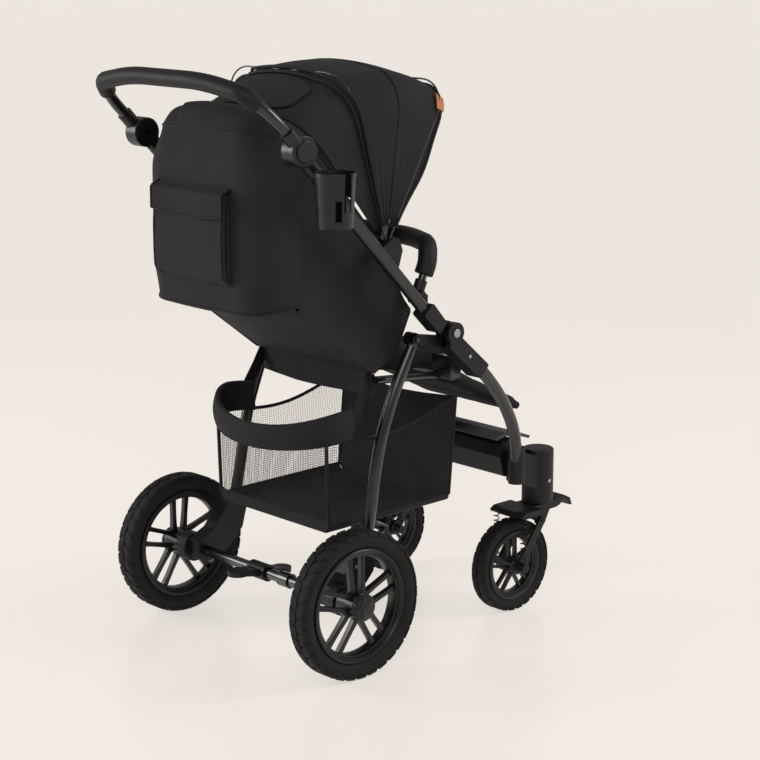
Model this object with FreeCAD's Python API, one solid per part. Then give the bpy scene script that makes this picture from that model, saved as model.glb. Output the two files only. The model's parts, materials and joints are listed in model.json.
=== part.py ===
import FreeCAD, Part
import math
import os

# Baby stroller with four wheels, a swinging handle, a folding frame and a folding canopy.
# Millimetres. The stroller faces -Y, +Z is up, and the origin is on the floor midway between
# the rear wheels' contact points. Side -1 is the pusher's right, which has the cup holder.

V = FreeCAD.Vector
SIDES = (-1, 1)

# ---- driving dimensions -------------------------------------------------------------------
REAR_WHEEL_RADIUS = 145.0
REAR_TYRE_WIDTH = 46.0
REAR_WHEEL_X = 275.0
FRONT_WHEEL_RADIUS = 97.5
FRONT_TYRE_WIDTH = 34.0
CASTER_X = 190.0
SWIVEL_Y = -587.0
FRONT_AXLE_Y = -508.0
TUBE_RADIUS = 12.5
TUBE_X = 235.0            # side frame tubes
REAR_LEG_X = 205.0
REAR_LEG_RADIUS = 12.0
SEAT_HALF_WIDTH = 165.0
BASKET_HALF_WIDTH = 170.0
FOLD_PIVOT = (-285.0, 628.0)      # (y, z) of the main fold
LEG_PIVOT = (-210.0, 620.0)       # top of the rear legs
HUB = (97.0, 1008.0)              # handle swing hubs
HUB_RADIUS = 29.0
CANOPY_PIVOT = (-153.0, 810.0)
BUMPER_PIVOT = (-227.0, 700.0)
RECLINE_PIVOT = (-150.0, 578.0)
LEGREST_PIVOT = (-372.0, 518.0)   # the front rod of the seat frame
SUSPENSION_PIVOT = (-572.0, 186.0)
LEVER_PIVOT = (-636.0, 212.0)
SHELL = 4.0               # thickness of the stiffened cloth shells
CANOPY_CORNER = 85.0      # radius between the canopy's top and its sides
GAP = 0.4                 # running clearance


# ---- helpers --------------------------------------------------------------------------------
def cylinder(start, end, radius):
    axis = end - start
    return Part.makeCylinder(radius, axis.Length, start, axis)


def along_x(x0, x1, place, radius):
    """A cylinder parallel to X, at place = (y, z)."""
    return cylinder(V(min(x0, x1), *place), V(max(x0, x1), *place), radius)


def box(low, high):
    return Part.makeBox(high[0] - low[0], high[1] - low[1], high[2] - low[2], V(*low))


def slab(outline, x0, x1):
    """The (y, z) outline, extruded from x0 to x1."""
    points = [V(min(x0, x1), y, z) for y, z in outline]
    face = Part.Face(Part.makePolygon(points + points[:1]))
    return face.extrude(V(abs(x1 - x0), 0, 0))


def soften(shape, radius, wanted=lambda edge: True):
    """Rounds the wanted edges."""
    return shape.makeFillet(radius, [edge for edge in shape.Edges if wanted(edge)])


def runs_in_x(edge):
    ends = [vertex.Point for vertex in edge.Vertexes]
    return len(ends) == 2 and abs((ends[1] - ends[0]).x) > 0.99 * edge.Length


def pipe(points, radius, share=0.45):
    """A round bar whose straight runs are joined by arcs as large as the runs allow."""
    edges = []
    here = points[0]
    for before, corner, after in zip(points, points[1:], points[2:]):
        arriving = (corner - before).normalize()
        leaving = (after - corner).normalize()
        turn = arriving.getAngle(leaving)
        cut = share * min((corner - before).Length, (after - corner).Length)
        bend = cut / math.tan(turn / 2)
        start = corner - arriving * cut
        end = corner + leaving * cut
        inward = (leaving - arriving).normalize()
        middle = corner + inward * (bend / math.cos(turn / 2) - bend)
        edges.append(Part.LineSegment(here, start).toShape())
        edges.append(Part.Arc(start, middle, end).toShape())
        here = end
    edges.append(Part.LineSegment(here, points[-1]).toShape())
    path = Part.Wire(edges)
    ring = Part.Circle(points[0], points[1] - points[0], radius).toShape()
    return path.makePipeShell([Part.Wire([ring])], True, False)


def mirrored(points):
    """The points, followed by their mirror images in reverse, for a bar that crosses x = 0."""
    return points + [V(-p.x, p.y, p.z) for p in reversed(points)]


def both_sides(make):
    return Part.makeCompound([make(side) for side in SIDES])


def fuse(shapes):
    body = shapes[0]
    for other in shapes[1:]:
        body = body.fuse(other)
    return body.removeSplitter()


def save(node, shape):
    shape.exportStep("parts/" + node + ".step")
    print(node, len(shape.Solids), round(shape.Volume / 1000, 1), shape.isValid())


def polar(place, distance, degrees):
    """The (y, z) at a distance from place, measured from +Y towards +Z."""
    angle = math.radians(degrees)
    return (place[0] + distance * math.cos(angle), place[1] + distance * math.sin(angle))


# ---- front frame ----------------------------------------------------------------------------
LEG_TOP = (-302.0, 594.5)
TUBE_ANGLE = 46.3          # slope of the push tubes
SWIVEL_LOW, SWIVEL_HIGH = 222.0, 336.0
LEG_FOOT = (210.0, -503.0, 292.0)


def front_leg(side):
    points = [V(side * TUBE_X, *LEG_TOP), V(side * TUBE_X, -372, 541), V(side * 229, -436, 474),
              V(side * 217, -490, 392), V(side * LEG_FOOT[0], LEG_FOOT[1], LEG_FOOT[2])]
    return pipe(points, TUBE_RADIUS)


def fold_housing(side):
    """The lower half of the fold knuckle, with the lug that carries the rear leg's top."""
    inner, outer = side * 216.5, side * 253.5
    around_leg = slab([(-268, 626), (-270, 598), (-352, 527), (-376, 552), (-302, 616)], inner, outer)
    body = fuse([soften(around_leg, 4, runs_in_x), along_x(inner, outer, FOLD_PIVOT, 21)])
    slot = along_x(side * 228.6, side * 241.4, FOLD_PIVOT, 32)
    pin_hole = along_x(inner, outer, FOLD_PIVOT, 5)
    lug = slab([(-292, 606), (-272, 621), (-214, 631), (-201, 626), (-199, 613), (-262, 599)],
               side * 218.2, side * 222.0)
    lug = lug.cut(along_x(side * 215, side * 224, LEG_PIVOT, 5))
    return fuse([body, lug]).cut(slot).cut(pin_hole).cut(front_leg(side))


def fold_pin(side):
    shaft = along_x(side * 215.5, side * 254.5, FOLD_PIVOT, 4.9)
    head = along_x(side * 253.6, side * 256.5, FOLD_PIVOT, 8.5)
    return soften(fuse([shaft, head]), 0.8, lambda edge: abs(edge.BoundBox.XMin) > 256)


def swivel_housing(side):
    """The round post above each front wheel, with the arm that clamps the foot of the leg."""
    centre = V(side * CASTER_X, SWIVEL_Y, 0)
    post = cylinder(centre + V(0, 0, SWIVEL_LOW), centre + V(0, 0, SWIVEL_HIGH), 33)
    post = soften(post, 5, lambda edge: edge.BoundBox.ZMin > SWIVEL_HIGH - 1)
    foot = V(*LEG_FOOT)
    foot.x *= side
    socket = cylinder(foot - V(0, 0, 14), foot + V(0, 0, 62), 17.5)
    arm = slab([(-575, 250), (-500, 278), (-500, 345), (-575, 322)], side * 183, side * 212)
    arm = soften(arm, 6, runs_in_x)
    stem_hole = cylinder(centre + V(0, 0, 200), centre + V(0, 0, 300), 10.4)
    leg = cylinder(foot, foot + V(0, 0, 90), TUBE_RADIUS)
    return fuse([post, socket, arm]).cut(stem_hole).cut(leg).cut(front_leg(side))


def footrest_beam():
    outline = [(-536, 292), (-492, 286), (-482, 330), (-486, 360), (-530, 364)]
    beam = soften(slab(outline, -182.7, 182.7), 8, runs_in_x)
    for x in (-120, -40, 40, 120):
        beam = beam.cut(box((x - 30, -540, 300), (x + 30, -515, 345)))
    return beam


def footrest_tread():
    top = [(-570, 356), (-540, 366), (-500, 372), (-474, 366), (-474, 372), (-500, 379),
           (-540, 374), (-572, 362)]
    return soften(slab(top, -180, 180), 1.5, runs_in_x)


def seat_frame():
    rail_x = 168
    points = [V(-rail_x, -150, 540), V(-rail_x, -300, 528), V(-rail_x, -366, 519),
              V(-rail_x + 40, -372, 518)]
    ring = pipe(mirrored(points), 8)
    rear = along_x(-rail_x, rail_x, (-150, 540), 8)
    plates = [slab([(-334, 526), (-306, 524), (-306, 572), (-334, 568)], side * 164, side * 216.3)
              for side in SIDES]
    return fuse([ring, rear] + plates)


def seat_pad():
    outline = [(-166, 552), (-362, 530), (-376, 540), (-374, 572), (-350, 582), (-190, 588), (-166, 584)]
    return soften(slab(outline, -158, 158), 8, runs_in_x)


def harness():
    """The crotch strap with its buckle, standing on the seat."""
    strap = slab([(-262, 586.5), (-258, 586.5), (-246, 640), (-250, 640)], -14, 14)
    buckle = soften(box((-24, -257, 640), (24, -239, 690)), 6)
    return fuse([strap, buckle])


BASKET_OUTLINE = [(-8, 262), (-322, 270), (-350, 484), (-12, 440)]
BASKET_INSIDE = [(-12, 266), (-318, 274), (-345, 500), (-15, 480)]


def basket():
    half = BASKET_HALF_WIDTH
    outer = soften(slab(BASKET_OUTLINE, -half, half), 6, lambda e: runs_in_x(e) and e.BoundBox.ZMax < 300)
    return outer.cut(slab(BASKET_INSIDE, -half + SHELL, half - SHELL))


def basket_rim():
    """The padded band round the back of the basket's mouth."""
    half = BASKET_HALF_WIDTH
    def curve(push, low, high):
        ends = V(-half + push, -96, low), V(half - push, -96, low)
        back = Part.Arc(ends[0], V(0, 34 - push, low), ends[1]).toShape()
        chord = Part.LineSegment(ends[1], ends[0]).toShape()
        return Part.Face(Part.Wire([back, chord])).extrude(V(0, 0, high - low))
    return curve(0, 441, 492).cut(curve(16, 430, 500)).cut(basket())


# ---- push frame -----------------------------------------------------------------------------
def push_tube(side):
    low = polar((-275, 618), 52, TUBE_ANGLE)
    high = polar(HUB, 31, TUBE_ANGLE + 180)
    return cylinder(V(side * TUBE_X, *low), V(side * TUBE_X, *high), TUBE_RADIUS)


def knuckle(side):
    """The upper half of the fold knuckle: a tongue on the pin and a sleeve round the tube."""
    inner, outer = side * 217.5, side * 252.5
    sleeve = slab([polar((-275, 618), 36, TUBE_ANGLE - 24), polar((-275, 618), 36, TUBE_ANGLE + 22),
                   polar((-275, 618), 92, TUBE_ANGLE + 10), polar((-275, 618), 92, TUBE_ANGLE - 10)],
                  inner, outer)
    sleeve = soften(sleeve, 4, runs_in_x)
    tongue = fuse([along_x(side * 229, side * 241, FOLD_PIVOT, 16),
                   slab([polar(FOLD_PIVOT, 15, TUBE_ANGLE + 90), polar(FOLD_PIVOT, 15, TUBE_ANGLE - 90),
                         polar((-275, 618), 48, TUBE_ANGLE - 12), polar((-275, 618), 48, TUBE_ANGLE + 16)],
                        side * 229, side * 241)])
    tube = cylinder(V(side * TUBE_X, *polar((-275, 618), 52, TUBE_ANGLE)), V(side * TUBE_X, *HUB), TUBE_RADIUS)
    lug = slab([polar((-275, 618), 62, TUBE_ANGLE + 8), polar((-275, 618), 88, TUBE_ANGLE + 8),
                (BUMPER_PIVOT[0] + 13, BUMPER_PIVOT[1] + 6), (BUMPER_PIVOT[0], BUMPER_PIVOT[1] + 14),
                (BUMPER_PIVOT[0] - 13, BUMPER_PIVOT[1] + 4)], side * 214, side * 220)
    body = fuse([sleeve, tongue, lug]).cut(along_x(side * 225, side * 245, FOLD_PIVOT, 5.2)).cut(tube)
    return body.cut(along_x(side * 210, side * 222, BUMPER_PIVOT, 4.3))


def handle_hub(side):
    """The fixed half of each handle hub, with the sleeve on top of the push tube."""
    disc = along_x(side * 222, side * 239.7, HUB, HUB_RADIUS)
    disc = soften(disc, 2.5, lambda edge: abs(edge.BoundBox.XMin) < 223)
    mouth = polar(HUB, 30.5, TUBE_ANGLE + 180)
    far = polar(HUB, 56, TUBE_ANGLE + 180)
    sleeve = cylinder(V(side * TUBE_X, *mouth), V(side * TUBE_X, *far), 15)
    neck = slab([polar(HUB, 34, TUBE_ANGLE + 160), polar(HUB, 34, TUBE_ANGLE + 200),
                 polar(HUB, 20, TUBE_ANGLE + 220), polar(HUB, 20, TUBE_ANGLE + 140)],
                side * 222.5, side * 239.7)
    return fuse([disc, sleeve, neck]).cut(push_tube(side)).cut(along_x(side * 215, side * 245, HUB, 5))


CUP_PLACE = V(-292, 58, 0)
CUP_LOW, CUP_HIGH = 872.0, 972.0
CUP_BORE = 34.5


def cup_holder():
    cup = Part.makeCone(33, 38, CUP_HIGH - CUP_LOW, CUP_PLACE + V(0, 0, CUP_LOW))
    rim = cylinder(CUP_PLACE + V(0, 0, CUP_HIGH - 9), CUP_PLACE + V(0, 0, CUP_HIGH), 38.6)
    rim = soften(rim, 1.5)
    bore = cylinder(CUP_PLACE + V(0, 0, CUP_HIGH - 22), CUP_PLACE + V(0, 0, CUP_HIGH + 1), CUP_BORE)
    inside = Part.makeCone(30, 34, CUP_HIGH - CUP_LOW - 24, CUP_PLACE + V(0, 0, CUP_LOW + 3))
    mug_slot = box((-345, 50, CUP_LOW + 30), (-310, 66, CUP_HIGH + 1))
    cup = fuse([cup, rim]).cut(bore).cut(inside).cut(mug_slot)
    for turn in (60, 180, 300):
        window = box((-6, 20, CUP_LOW + 14), (6, 50, CUP_LOW + 52))
        window.rotate(V(0, 0, 0), V(0, 0, 1), turn)
        window.translate(CUP_PLACE)
        cup = cup.cut(window)
    return cup


def cup_clamp():
    """The collar on the push tube that the cup hangs from."""
    middle = polar(HUB, 92, TUBE_ANGLE + 180)
    tube_end = [V(-TUBE_X, *polar(HUB, distance, TUBE_ANGLE + 180)) for distance in (76, 108)]
    collar = cylinder(tube_end[0], tube_end[1], 17)
    arm = box((-264, middle[0] - 9, middle[1] - 16), (-240, middle[0] + 22, middle[1] + 14))
    body = fuse([collar, arm]).cut(push_tube(-1))
    cup_body = Part.makeCone(33, 38, CUP_HIGH - CUP_LOW, CUP_PLACE + V(0, 0, CUP_LOW))
    return body.cut(cup_body).Solids[0]


def canopy_clip(side):
    """The fixed bracket on the push tube that the canopy turns on."""
    post = along_x(side * 206.5, side * 221, CANOPY_PIVOT, 15)
    grip = slab([(-150, 742), (-104, 790), (-112, 806), (-140, 824), (-160, 822), (-168, 800)],
                side * 214, side * 226)
    pin = along_x(side * 181.5, side * 210, CANOPY_PIVOT, 4)
    return fuse([post, grip, pin]).cut(push_tube(side))


def arch(angle, height, half, low):
    """One closed section of a canopy shell, in the plane through the canopy axis at an angle."""
    corner = CANOPY_CORNER
    up = V(0, math.cos(math.radians(angle)), math.sin(math.radians(angle)))
    centre = V(0, *CANOPY_PIVOT)

    def at(x, r):
        return centre + V(x, 0, 0) + up * r

    def side_arc(sign, half_width, top, radius):
        bend = radius * (1 - math.sqrt(0.5))
        return [at(sign * half_width, top - radius), at(sign * (half_width - bend), top - bend),
                at(sign * (half_width - radius), top)]

    outer_left, outer_right = side_arc(-1, half, height, corner), side_arc(1, half, height, corner)
    inner_left = side_arc(-1, half - SHELL, height - SHELL, corner - SHELL)
    inner_right = side_arc(1, half - SHELL, height - SHELL, corner - SHELL)

    def line(start, end):
        return Part.LineSegment(start, end).toShape()

    def arc(points):
        return Part.Arc(*points).toShape()

    return Part.Wire([line(at(-half, low), outer_left[0]), arc(outer_left),
                      line(outer_left[2], outer_right[2]), arc(outer_right[::-1]),
                      line(outer_right[0], at(half, low)), line(at(half, low), at(half - SHELL, low)),
                      line(at(half - SHELL, low), inner_right[0]), arc(inner_right),
                      line(inner_right[2], inner_left[2]), arc(inner_left[::-1]),
                      line(inner_left[0], at(-half + SHELL, low)),
                      line(at(-half + SHELL, low), at(-half, low))])


def canopy_shell(sections, half, low):
    wires = [arch(angle, height, half, low) for angle, height in sections]
    return Part.makeLoft(wires, True, True)


def hoop(angle, height, half, radius):
    """A bent rod in the plane through the canopy axis, with an eyelet at each end on the pin."""
    up = V(0, math.cos(math.radians(angle)), math.sin(math.radians(angle)))
    bend = CANOPY_CORNER - SHELL / 2
    middle = bend * (1 - math.sqrt(0.5))

    def at(x, r):
        return V(x, *CANOPY_PIVOT) + up * r

    def run(start, end):
        return Part.LineSegment(start, end).toShape()

    path = Part.Wire([
        run(at(-half, 7), at(-half, height - bend)),
        Part.Arc(at(-half, height - bend), at(-half + middle, height - middle),
                 at(-half + bend, height)).toShape(),
        run(at(-half + bend, height), at(half - bend, height)),
        Part.Arc(at(half - bend, height), at(half - middle, height - middle),
                 at(half, height - bend)).toShape(),
        run(at(half, height - bend), at(half, 7))])
    ring = Part.Wire([Part.Circle(at(-half, 7), up, radius).toShape()])
    rod = path.makePipeShell([ring], True, False)
    eyelets = [along_x(side * (half - radius - 0.2), side * (half + radius + 0.2), CANOPY_PIVOT, 9)
               for side in SIDES]
    return fuse([rod] + eyelets).cut(along_x(-half - 5, half + 5, CANOPY_PIVOT, 4.05))


# (angle, radius) of each section, with the shells nested one outside the next
REAR_HALF, MID_HALF, FRONT_HALF, CANOPY_LOW = 190.0, 196.0, 202.0, 40.0
REAR_SECTIONS = [(51, 329), (62, 329), (73.5, 329)]
MID_SECTIONS = [(74, 336.5), (86, 336.5), (98, 336.5)]
FRONT_SECTIONS = [(96, 344), (108, 344), (120, 344)]


def canopy_carrier(x_low, x_high, angle, reach):
    """A pair of flat stays on the canopy axis, one inside each side of the cloth."""
    corners = [polar(CANOPY_PIVOT, 7, angle - 90), polar(CANOPY_PIVOT, 7, angle + 90)]
    outline = [corners[0], polar(corners[0], reach, angle), polar(corners[1], reach, angle), corners[1]]

    def one(side):
        disc = along_x(side * x_low, side * x_high, CANOPY_PIVOT, 13)
        stay = fuse([disc, slab(outline, side * x_low, side * x_high)])
        return stay.cut(along_x(side * x_low, side * x_high, CANOPY_PIVOT, 4.05))
    return both_sides(one)


# ---- rear box and side panels ---------------------------------------------------------------
BOX_LOW, BOX_HIGH = 700.0, 1050.0
BOX_HALF = 186.0
BOX_SIDE_Y, BOX_BACK_Y = 52.0, 150.0
BOX_CORNER = 80.0


def box_plan(inset, low, high):
    half, back = BOX_HALF - inset, BOX_BACK_Y - inset
    front, corner = BOX_SIDE_Y, BOX_CORNER - inset
    block = box((-half, front, low), (half, back, high))
    return soften(block, corner, lambda e: e.BoundBox.ZLength > 1 and e.BoundBox.YMin > back - 1)


def back_box():
    band = box_plan(0, BOX_LOW, BOX_HIGH).cut(box_plan(SHELL, BOX_LOW + SHELL, BOX_HIGH - SHELL))
    front_edge = box((-110, BOX_SIDE_Y, BOX_HIGH - 1), (110, BOX_SIDE_Y + SHELL, 1076))
    body = fuse([band, front_edge]).cut(canopy_shell(REAR_SECTIONS, REAR_HALF, CANOPY_LOW))
    return body.cut(both_sides(side_panel))


def back_pocket():
    """The flapped pocket sewn on the back of the box."""
    block = box((-105, 100, 750), (105, 173, 936))
    block = soften(block, 8, lambda edge: edge.BoundBox.YMin > 172)
    return block.cut(box_plan(-0.3, 740, 950))


def side_panel(side):
    outline = [(-136, 556), (77, 716), (46, 900), (46, 955), (-36, 955), (-146, 816), (-214, 694),
               (-232, 668), (-196, 590)]
    return slab(outline, side * 178, side * 181)


# ---- seat back, leg rest, bumper, handle ----------------------------------------------------
BACK_ANGLE = 37.0
BACK_LENGTH = 330.0
BACK_HALF_WIDTH = 150.0


def back_plate():
    start, end = polar(RECLINE_PIVOT, 14, BACK_ANGLE), polar(RECLINE_PIVOT, BACK_LENGTH, BACK_ANGLE)
    lift = polar((0, 0), 5, BACK_ANGLE + 90)
    outline = [start, end, (end[0] + lift[0], end[1] + lift[1]), (start[0] + lift[0], start[1] + lift[1])]
    board = slab(outline, -BACK_HALF_WIDTH, BACK_HALF_WIDTH)
    hinge = along_x(-SEAT_HALF_WIDTH, SEAT_HALF_WIDTH, RECLINE_PIVOT, 7)
    web = slab([polar(RECLINE_PIVOT, 0, 0), start, (start[0] + lift[0], start[1] + lift[1]),
                polar(RECLINE_PIVOT, 5, BACK_ANGLE + 90)], -140, 140)
    return fuse([board, hinge, web])


def back_pad():
    base = polar(RECLINE_PIVOT, 5.3, BACK_ANGLE + 90)
    outline = [polar(base, 22, BACK_ANGLE), polar(base, BACK_LENGTH - 4, BACK_ANGLE),
               polar(polar(base, BACK_LENGTH - 4, BACK_ANGLE), 26, BACK_ANGLE + 90),
               polar(polar(base, 22, BACK_ANGLE), 26, BACK_ANGLE + 90)]
    return soften(slab(outline, -BACK_HALF_WIDTH, BACK_HALF_WIDTH), 8, runs_in_x)


def legrest():
    near, far = polar(LEGREST_PIVOT, 14, 206), polar(LEGREST_PIVOT, 248, 206)
    up = polar((0, 0), 11, 116)
    outline = [(near[0] + up[0], near[1] + up[1]), (far[0] + up[0], far[1] + up[1]),
               (far[0] - up[0], far[1] - up[1]), (near[0] - up[0], near[1] - up[1])]
    flap = soften(slab(outline, -150, 150), 6, runs_in_x)
    sleeve = along_x(-100, 100, LEGREST_PIVOT, 11.5)
    web = slab([polar(LEGREST_PIVOT, 9, 206), polar(near, 1, 206), polar(near, 8, 116),
                polar(LEGREST_PIVOT, 11, 116)], -100, 100)
    return fuse([flap, sleeve, web]).cut(along_x(-130, 130, LEGREST_PIVOT, 8 + GAP))


BUMPER_ANGLE = 115.0


def bumper_socket(side):
    barrel = along_x(side * 190, side * 213.5, BUMPER_PIVOT, 15)
    mouth = cylinder(V(side * 200, *BUMPER_PIVOT), V(side * 200, *polar(BUMPER_PIVOT, 34, BUMPER_ANGLE)), 12)
    pin = along_x(side * 212, side * 223, BUMPER_PIVOT, 4)
    arm_hole = cylinder(V(side * 200, *polar(BUMPER_PIVOT, 12, BUMPER_ANGLE)),
                        V(side * 200, *polar(BUMPER_PIVOT, 40, BUMPER_ANGLE)), 8.3)
    return fuse([barrel, mouth, pin]).cut(arm_hole)


def bumper_path(start):
    top = polar(BUMPER_PIVOT, 96, BUMPER_ANGLE)
    return [V(-200, *polar(BUMPER_PIVOT, start, BUMPER_ANGLE)), V(-200, *polar(BUMPER_PIVOT, 70, BUMPER_ANGLE)),
            V(-186, top[0] - 4, top[1] + 10), V(-110, top[0] - 30, top[1] + 14)]


def bumper_bar():
    return pipe(mirrored(bumper_path(14)), 8)


def bumper_pad():
    pad = pipe(mirrored(bumper_path(44)), 18.5)
    return pad.cut(pipe(mirrored(bumper_path(14)), 8))


def handle_path():
    start = polar(HUB, 31.5, TUBE_ANGLE)
    return [V(-246, *start), V(-244, 165, 1076), V(-214, 204, 1114), V(-110, 212, 1131)]


def handle_bar():
    return pipe(mirrored(handle_path()), 11)


def handle_foam():
    first, second, third, fourth = handle_path()
    start = second * 0.55 + third * 0.45
    path = mirrored([start, third, fourth])
    return pipe(path, 16).cut(handle_bar())


def hub_cover(side):
    """The swinging half of each handle hub, with the socket that the handle plugs into."""
    disc = along_x(side * 240.3, side * 257, HUB, HUB_RADIUS)
    disc = soften(disc, 2.5, lambda edge: abs(edge.BoundBox.XMin) > 256)
    near, far = polar(HUB, 22, TUBE_ANGLE), polar(HUB, 52, TUBE_ANGLE)
    socket = cylinder(V(side * 247, *near), V(side * 247, *far), 14.5)
    room = along_x(side * 220, side * 240.2, HUB, HUB_RADIUS + 0.5)
    recess = along_x(side * 250, side * 258, HUB, 20.4)
    return fuse([disc, socket]).cut(room).cut(handle_bar()).cut(recess).cut(along_x(side * 238, side * 260, HUB, 5))


def hub_button(side):
    button = along_x(side * 254.4, side * 260.5, HUB, 20)
    return soften(button, 1.8, lambda edge: abs(edge.BoundBox.XMin) > 260)


# ---- rear legs, axle, brake -----------------------------------------------------------------
LEG_CURVE = [(-212, 605), (-168, 528), (-126, 420), (-107, 310), (-86, 214)]


def rear_leg(side):
    tube = pipe([V(side * REAR_LEG_X, y, z) for y, z in LEG_CURVE], REAR_LEG_RADIUS)
    eye = along_x(side * (REAR_LEG_X - 10), side * (REAR_LEG_X + 10), LEG_PIVOT, 13)
    pin = along_x(side * (REAR_LEG_X + 10), side * (REAR_LEG_X + 20), LEG_PIVOT, 4.8)
    neck = cylinder(V(side * REAR_LEG_X, -210, 604), V(side * REAR_LEG_X, *LEG_PIVOT), 10)
    return fuse([tube, eye, neck, pin])


def foot_bracket(side):
    """The moulded foot that joins the leg to the axle, and the brake drum beside the wheel."""
    outline = [(-112, 236), (-84, 252), (-56, 232), (-22, 186), (16, 168), (20, 130), (-10, 121),
               (-62, 142), (-96, 178)]
    foot = soften(slab(outline, side * 187, side * 222), 6, runs_in_x)
    drum = along_x(side * 222, side * 248, (0, REAR_WHEEL_RADIUS), 30)
    drum = soften(drum, 3, lambda edge: abs(edge.BoundBox.XMin) > 247)
    body = fuse([foot, drum]).cut(rear_leg(side)).cut(along_x(side * 180, side * 255, (0, REAR_WHEEL_RADIUS), 8))
    return body.cut(along_x(side * 226, side * 255, (18, REAR_WHEEL_RADIUS), 4.4))


def rear_axle():
    bar = along_x(-187, 187, (0, REAR_WHEEL_RADIUS), 11)
    ends = along_x(-297, 297, (0, REAR_WHEEL_RADIUS), 7.6)
    collar = along_x(-88, -58, (0, REAR_WHEEL_RADIUS), 15)
    return fuse([bar, ends, collar])


BRAKE_X = 8.0


def brake_pedal():
    """A rocker on the axle with one lobe to set the brake and one to let it off."""
    sleeve = along_x(BRAKE_X - 26, BRAKE_X + 26, (0, REAR_WHEEL_RADIUS), 17)
    lobes = []
    for reach, drop in ((58, 8), (-52, -8)):
        tip = V(BRAKE_X, reach, REAR_WHEEL_RADIUS + drop)
        lobes.append(cylinder(tip - V(0, 0, 5), tip + V(0, 0, 5), 21))
        web = slab([(0, REAR_WHEEL_RADIUS + 8), (reach, tip.z + 5), (reach, tip.z - 5),
                    (0, REAR_WHEEL_RADIUS - 8)], BRAKE_X - 17, BRAKE_X + 17)
        lobes.append(web)
    body = fuse([sleeve] + lobes)
    return body.cut(along_x(BRAKE_X - 30, BRAKE_X + 30, (0, REAR_WHEEL_RADIUS), 11 + GAP))


def brake_pin(side):
    return along_x(side * 227, side * 247.5, (18, REAR_WHEEL_RADIUS), 4)


# ---- wheels ---------------------------------------------------------------------------------
def turned(profile, centre):
    """A solid of revolution about X from (radius, x) points."""
    points = [V(centre.x + x, centre.y, centre.z + r) for r, x in profile]
    face = Part.Face(Part.makePolygon(points + points[:1]))
    return face.revolve(centre, V(1, 0, 0), 360)


def tyre(centre, radius, width, depth):
    half = width / 2
    low = radius - depth
    profile = [(low, -half * 0.62), (low + depth * 0.35, -half * 0.97), (low + depth * 0.62, -half),
               (radius - 7, -half * 0.86), (radius - 2, -half * 0.55), (radius, 0),
               (radius - 2, half * 0.55), (radius - 7, half * 0.86), (low + depth * 0.62, half),
               (low + depth * 0.35, half * 0.97), (low, half * 0.62)]
    return turned(profile, centre)


def rim(centre, radius, width, hub_radius, hub_width, bore, outward):
    """The wheel's rim, hub and five pairs of spokes."""
    half = width / 2
    ring = turned([(radius, -half * 0.62), (radius, half * 0.62), (radius + 2, half * 0.72),
                   (radius - 3, half * 0.80), (radius - 13, half * 0.5), (radius - 13, -half * 0.5),
                   (radius - 3, -half * 0.80), (radius + 2, -half * 0.72)], centre)
    hub = cylinder(centre - V(hub_width / 2, 0, 0), centre + V(hub_width / 2, 0, 0), hub_radius)
    pieces = [ring, hub]
    for spoke in range(5):
        for lean in (-1, 1):
            bar = box((-6, lean * radius * 0.13 - 5, hub_radius * 0.6), (6, lean * radius * 0.13 + 5, radius - 9))
            bar.translate(V(outward * half * 0.22, 0, 0))
            bar.rotate(V(0, 0, 0), V(1, 0, 0), spoke * 72)
            bar.translate(centre)
            pieces.append(bar)
    body = fuse(pieces)
    return body.cut(cylinder(centre - V(60, 0, 0), centre + V(60, 0, 0), bore))


def rear_wheel(side):
    centre = V(side * REAR_WHEEL_X, 0, REAR_WHEEL_RADIUS)
    depth = 34.0
    name = "right" if side < 0 else "left"
    save("rear_tyre_" + name, tyre(centre, REAR_WHEEL_RADIUS, REAR_TYRE_WIDTH, depth))
    wheel = rim(centre, REAR_WHEEL_RADIUS - depth, REAR_TYRE_WIDTH, 27, 50, 7.7, side)
    cap = cylinder(centre + V(side * 25, 0, 0), centre + V(side * 31, 0, 0), 24)
    cap = soften(cap, 2, lambda edge: abs(edge.BoundBox.XMin) > REAR_WHEEL_X + 30)
    wheel = fuse([wheel, cap.cut(along_x(side * 295, side * 298, (0, REAR_WHEEL_RADIUS), 7.7))])
    for notch in range(12):
        place = polar((0, REAR_WHEEL_RADIUS), 18, notch * 30)
        wheel = wheel.cut(along_x(side * 249, side * 257, place, 4.7))
    save("rear_rim_" + name, wheel)


# ---- front casters --------------------------------------------------------------------------
PRONG_X = 39.5
SPRING_LOW, SPRING_HIGH = 107.0, 203.5
SPRING_Y = -506.0


def caster_yoke(side):
    """The stem, the crown over the wheel, two spring prongs and two ears for the link arms."""
    x = side * CASTER_X
    stem = cylinder(V(x, SWIVEL_Y, 205), V(x, SWIVEL_Y, 298), 10)
    crown = soften(slab([(-626, 206), (-612, 219.5), (-560, 219.5), (-500, 216), (-492, 204), (-556, 203)],
                        x - 26, x + 26), 2.5, runs_in_x)
    pieces = [stem, crown]
    for lean in (-1, 1):
        prong = slab([(-560, 205), (-556, 218), (-506, 217), (-494, 210), (-498, 204)],
                     x + lean * 18, x + lean * (PRONG_X + 8))
        pieces.append(soften(prong, 2.5, runs_in_x))
        ear = slab([(-600, 206), (-552, 206), (-560, 180), (-572, 174), (-586, 180)],
                   x + lean * 19.5, x + lean * 25)
        pieces.append(ear)
        lever_ear = slab([(-628, 206), (-612, 219), (-636, 219), (-643, 212), (-636, 205)],
                         x + lean * 15.6, x + lean * 19)
        pieces.append(lever_ear)
    pieces.append(along_x(x - 18, x + 18, LEVER_PIVOT, 2.5))
    body = fuse(pieces)
    return body.cut(along_x(x - 60, x + 60, SUSPENSION_PIVOT, 4.3))


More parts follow.
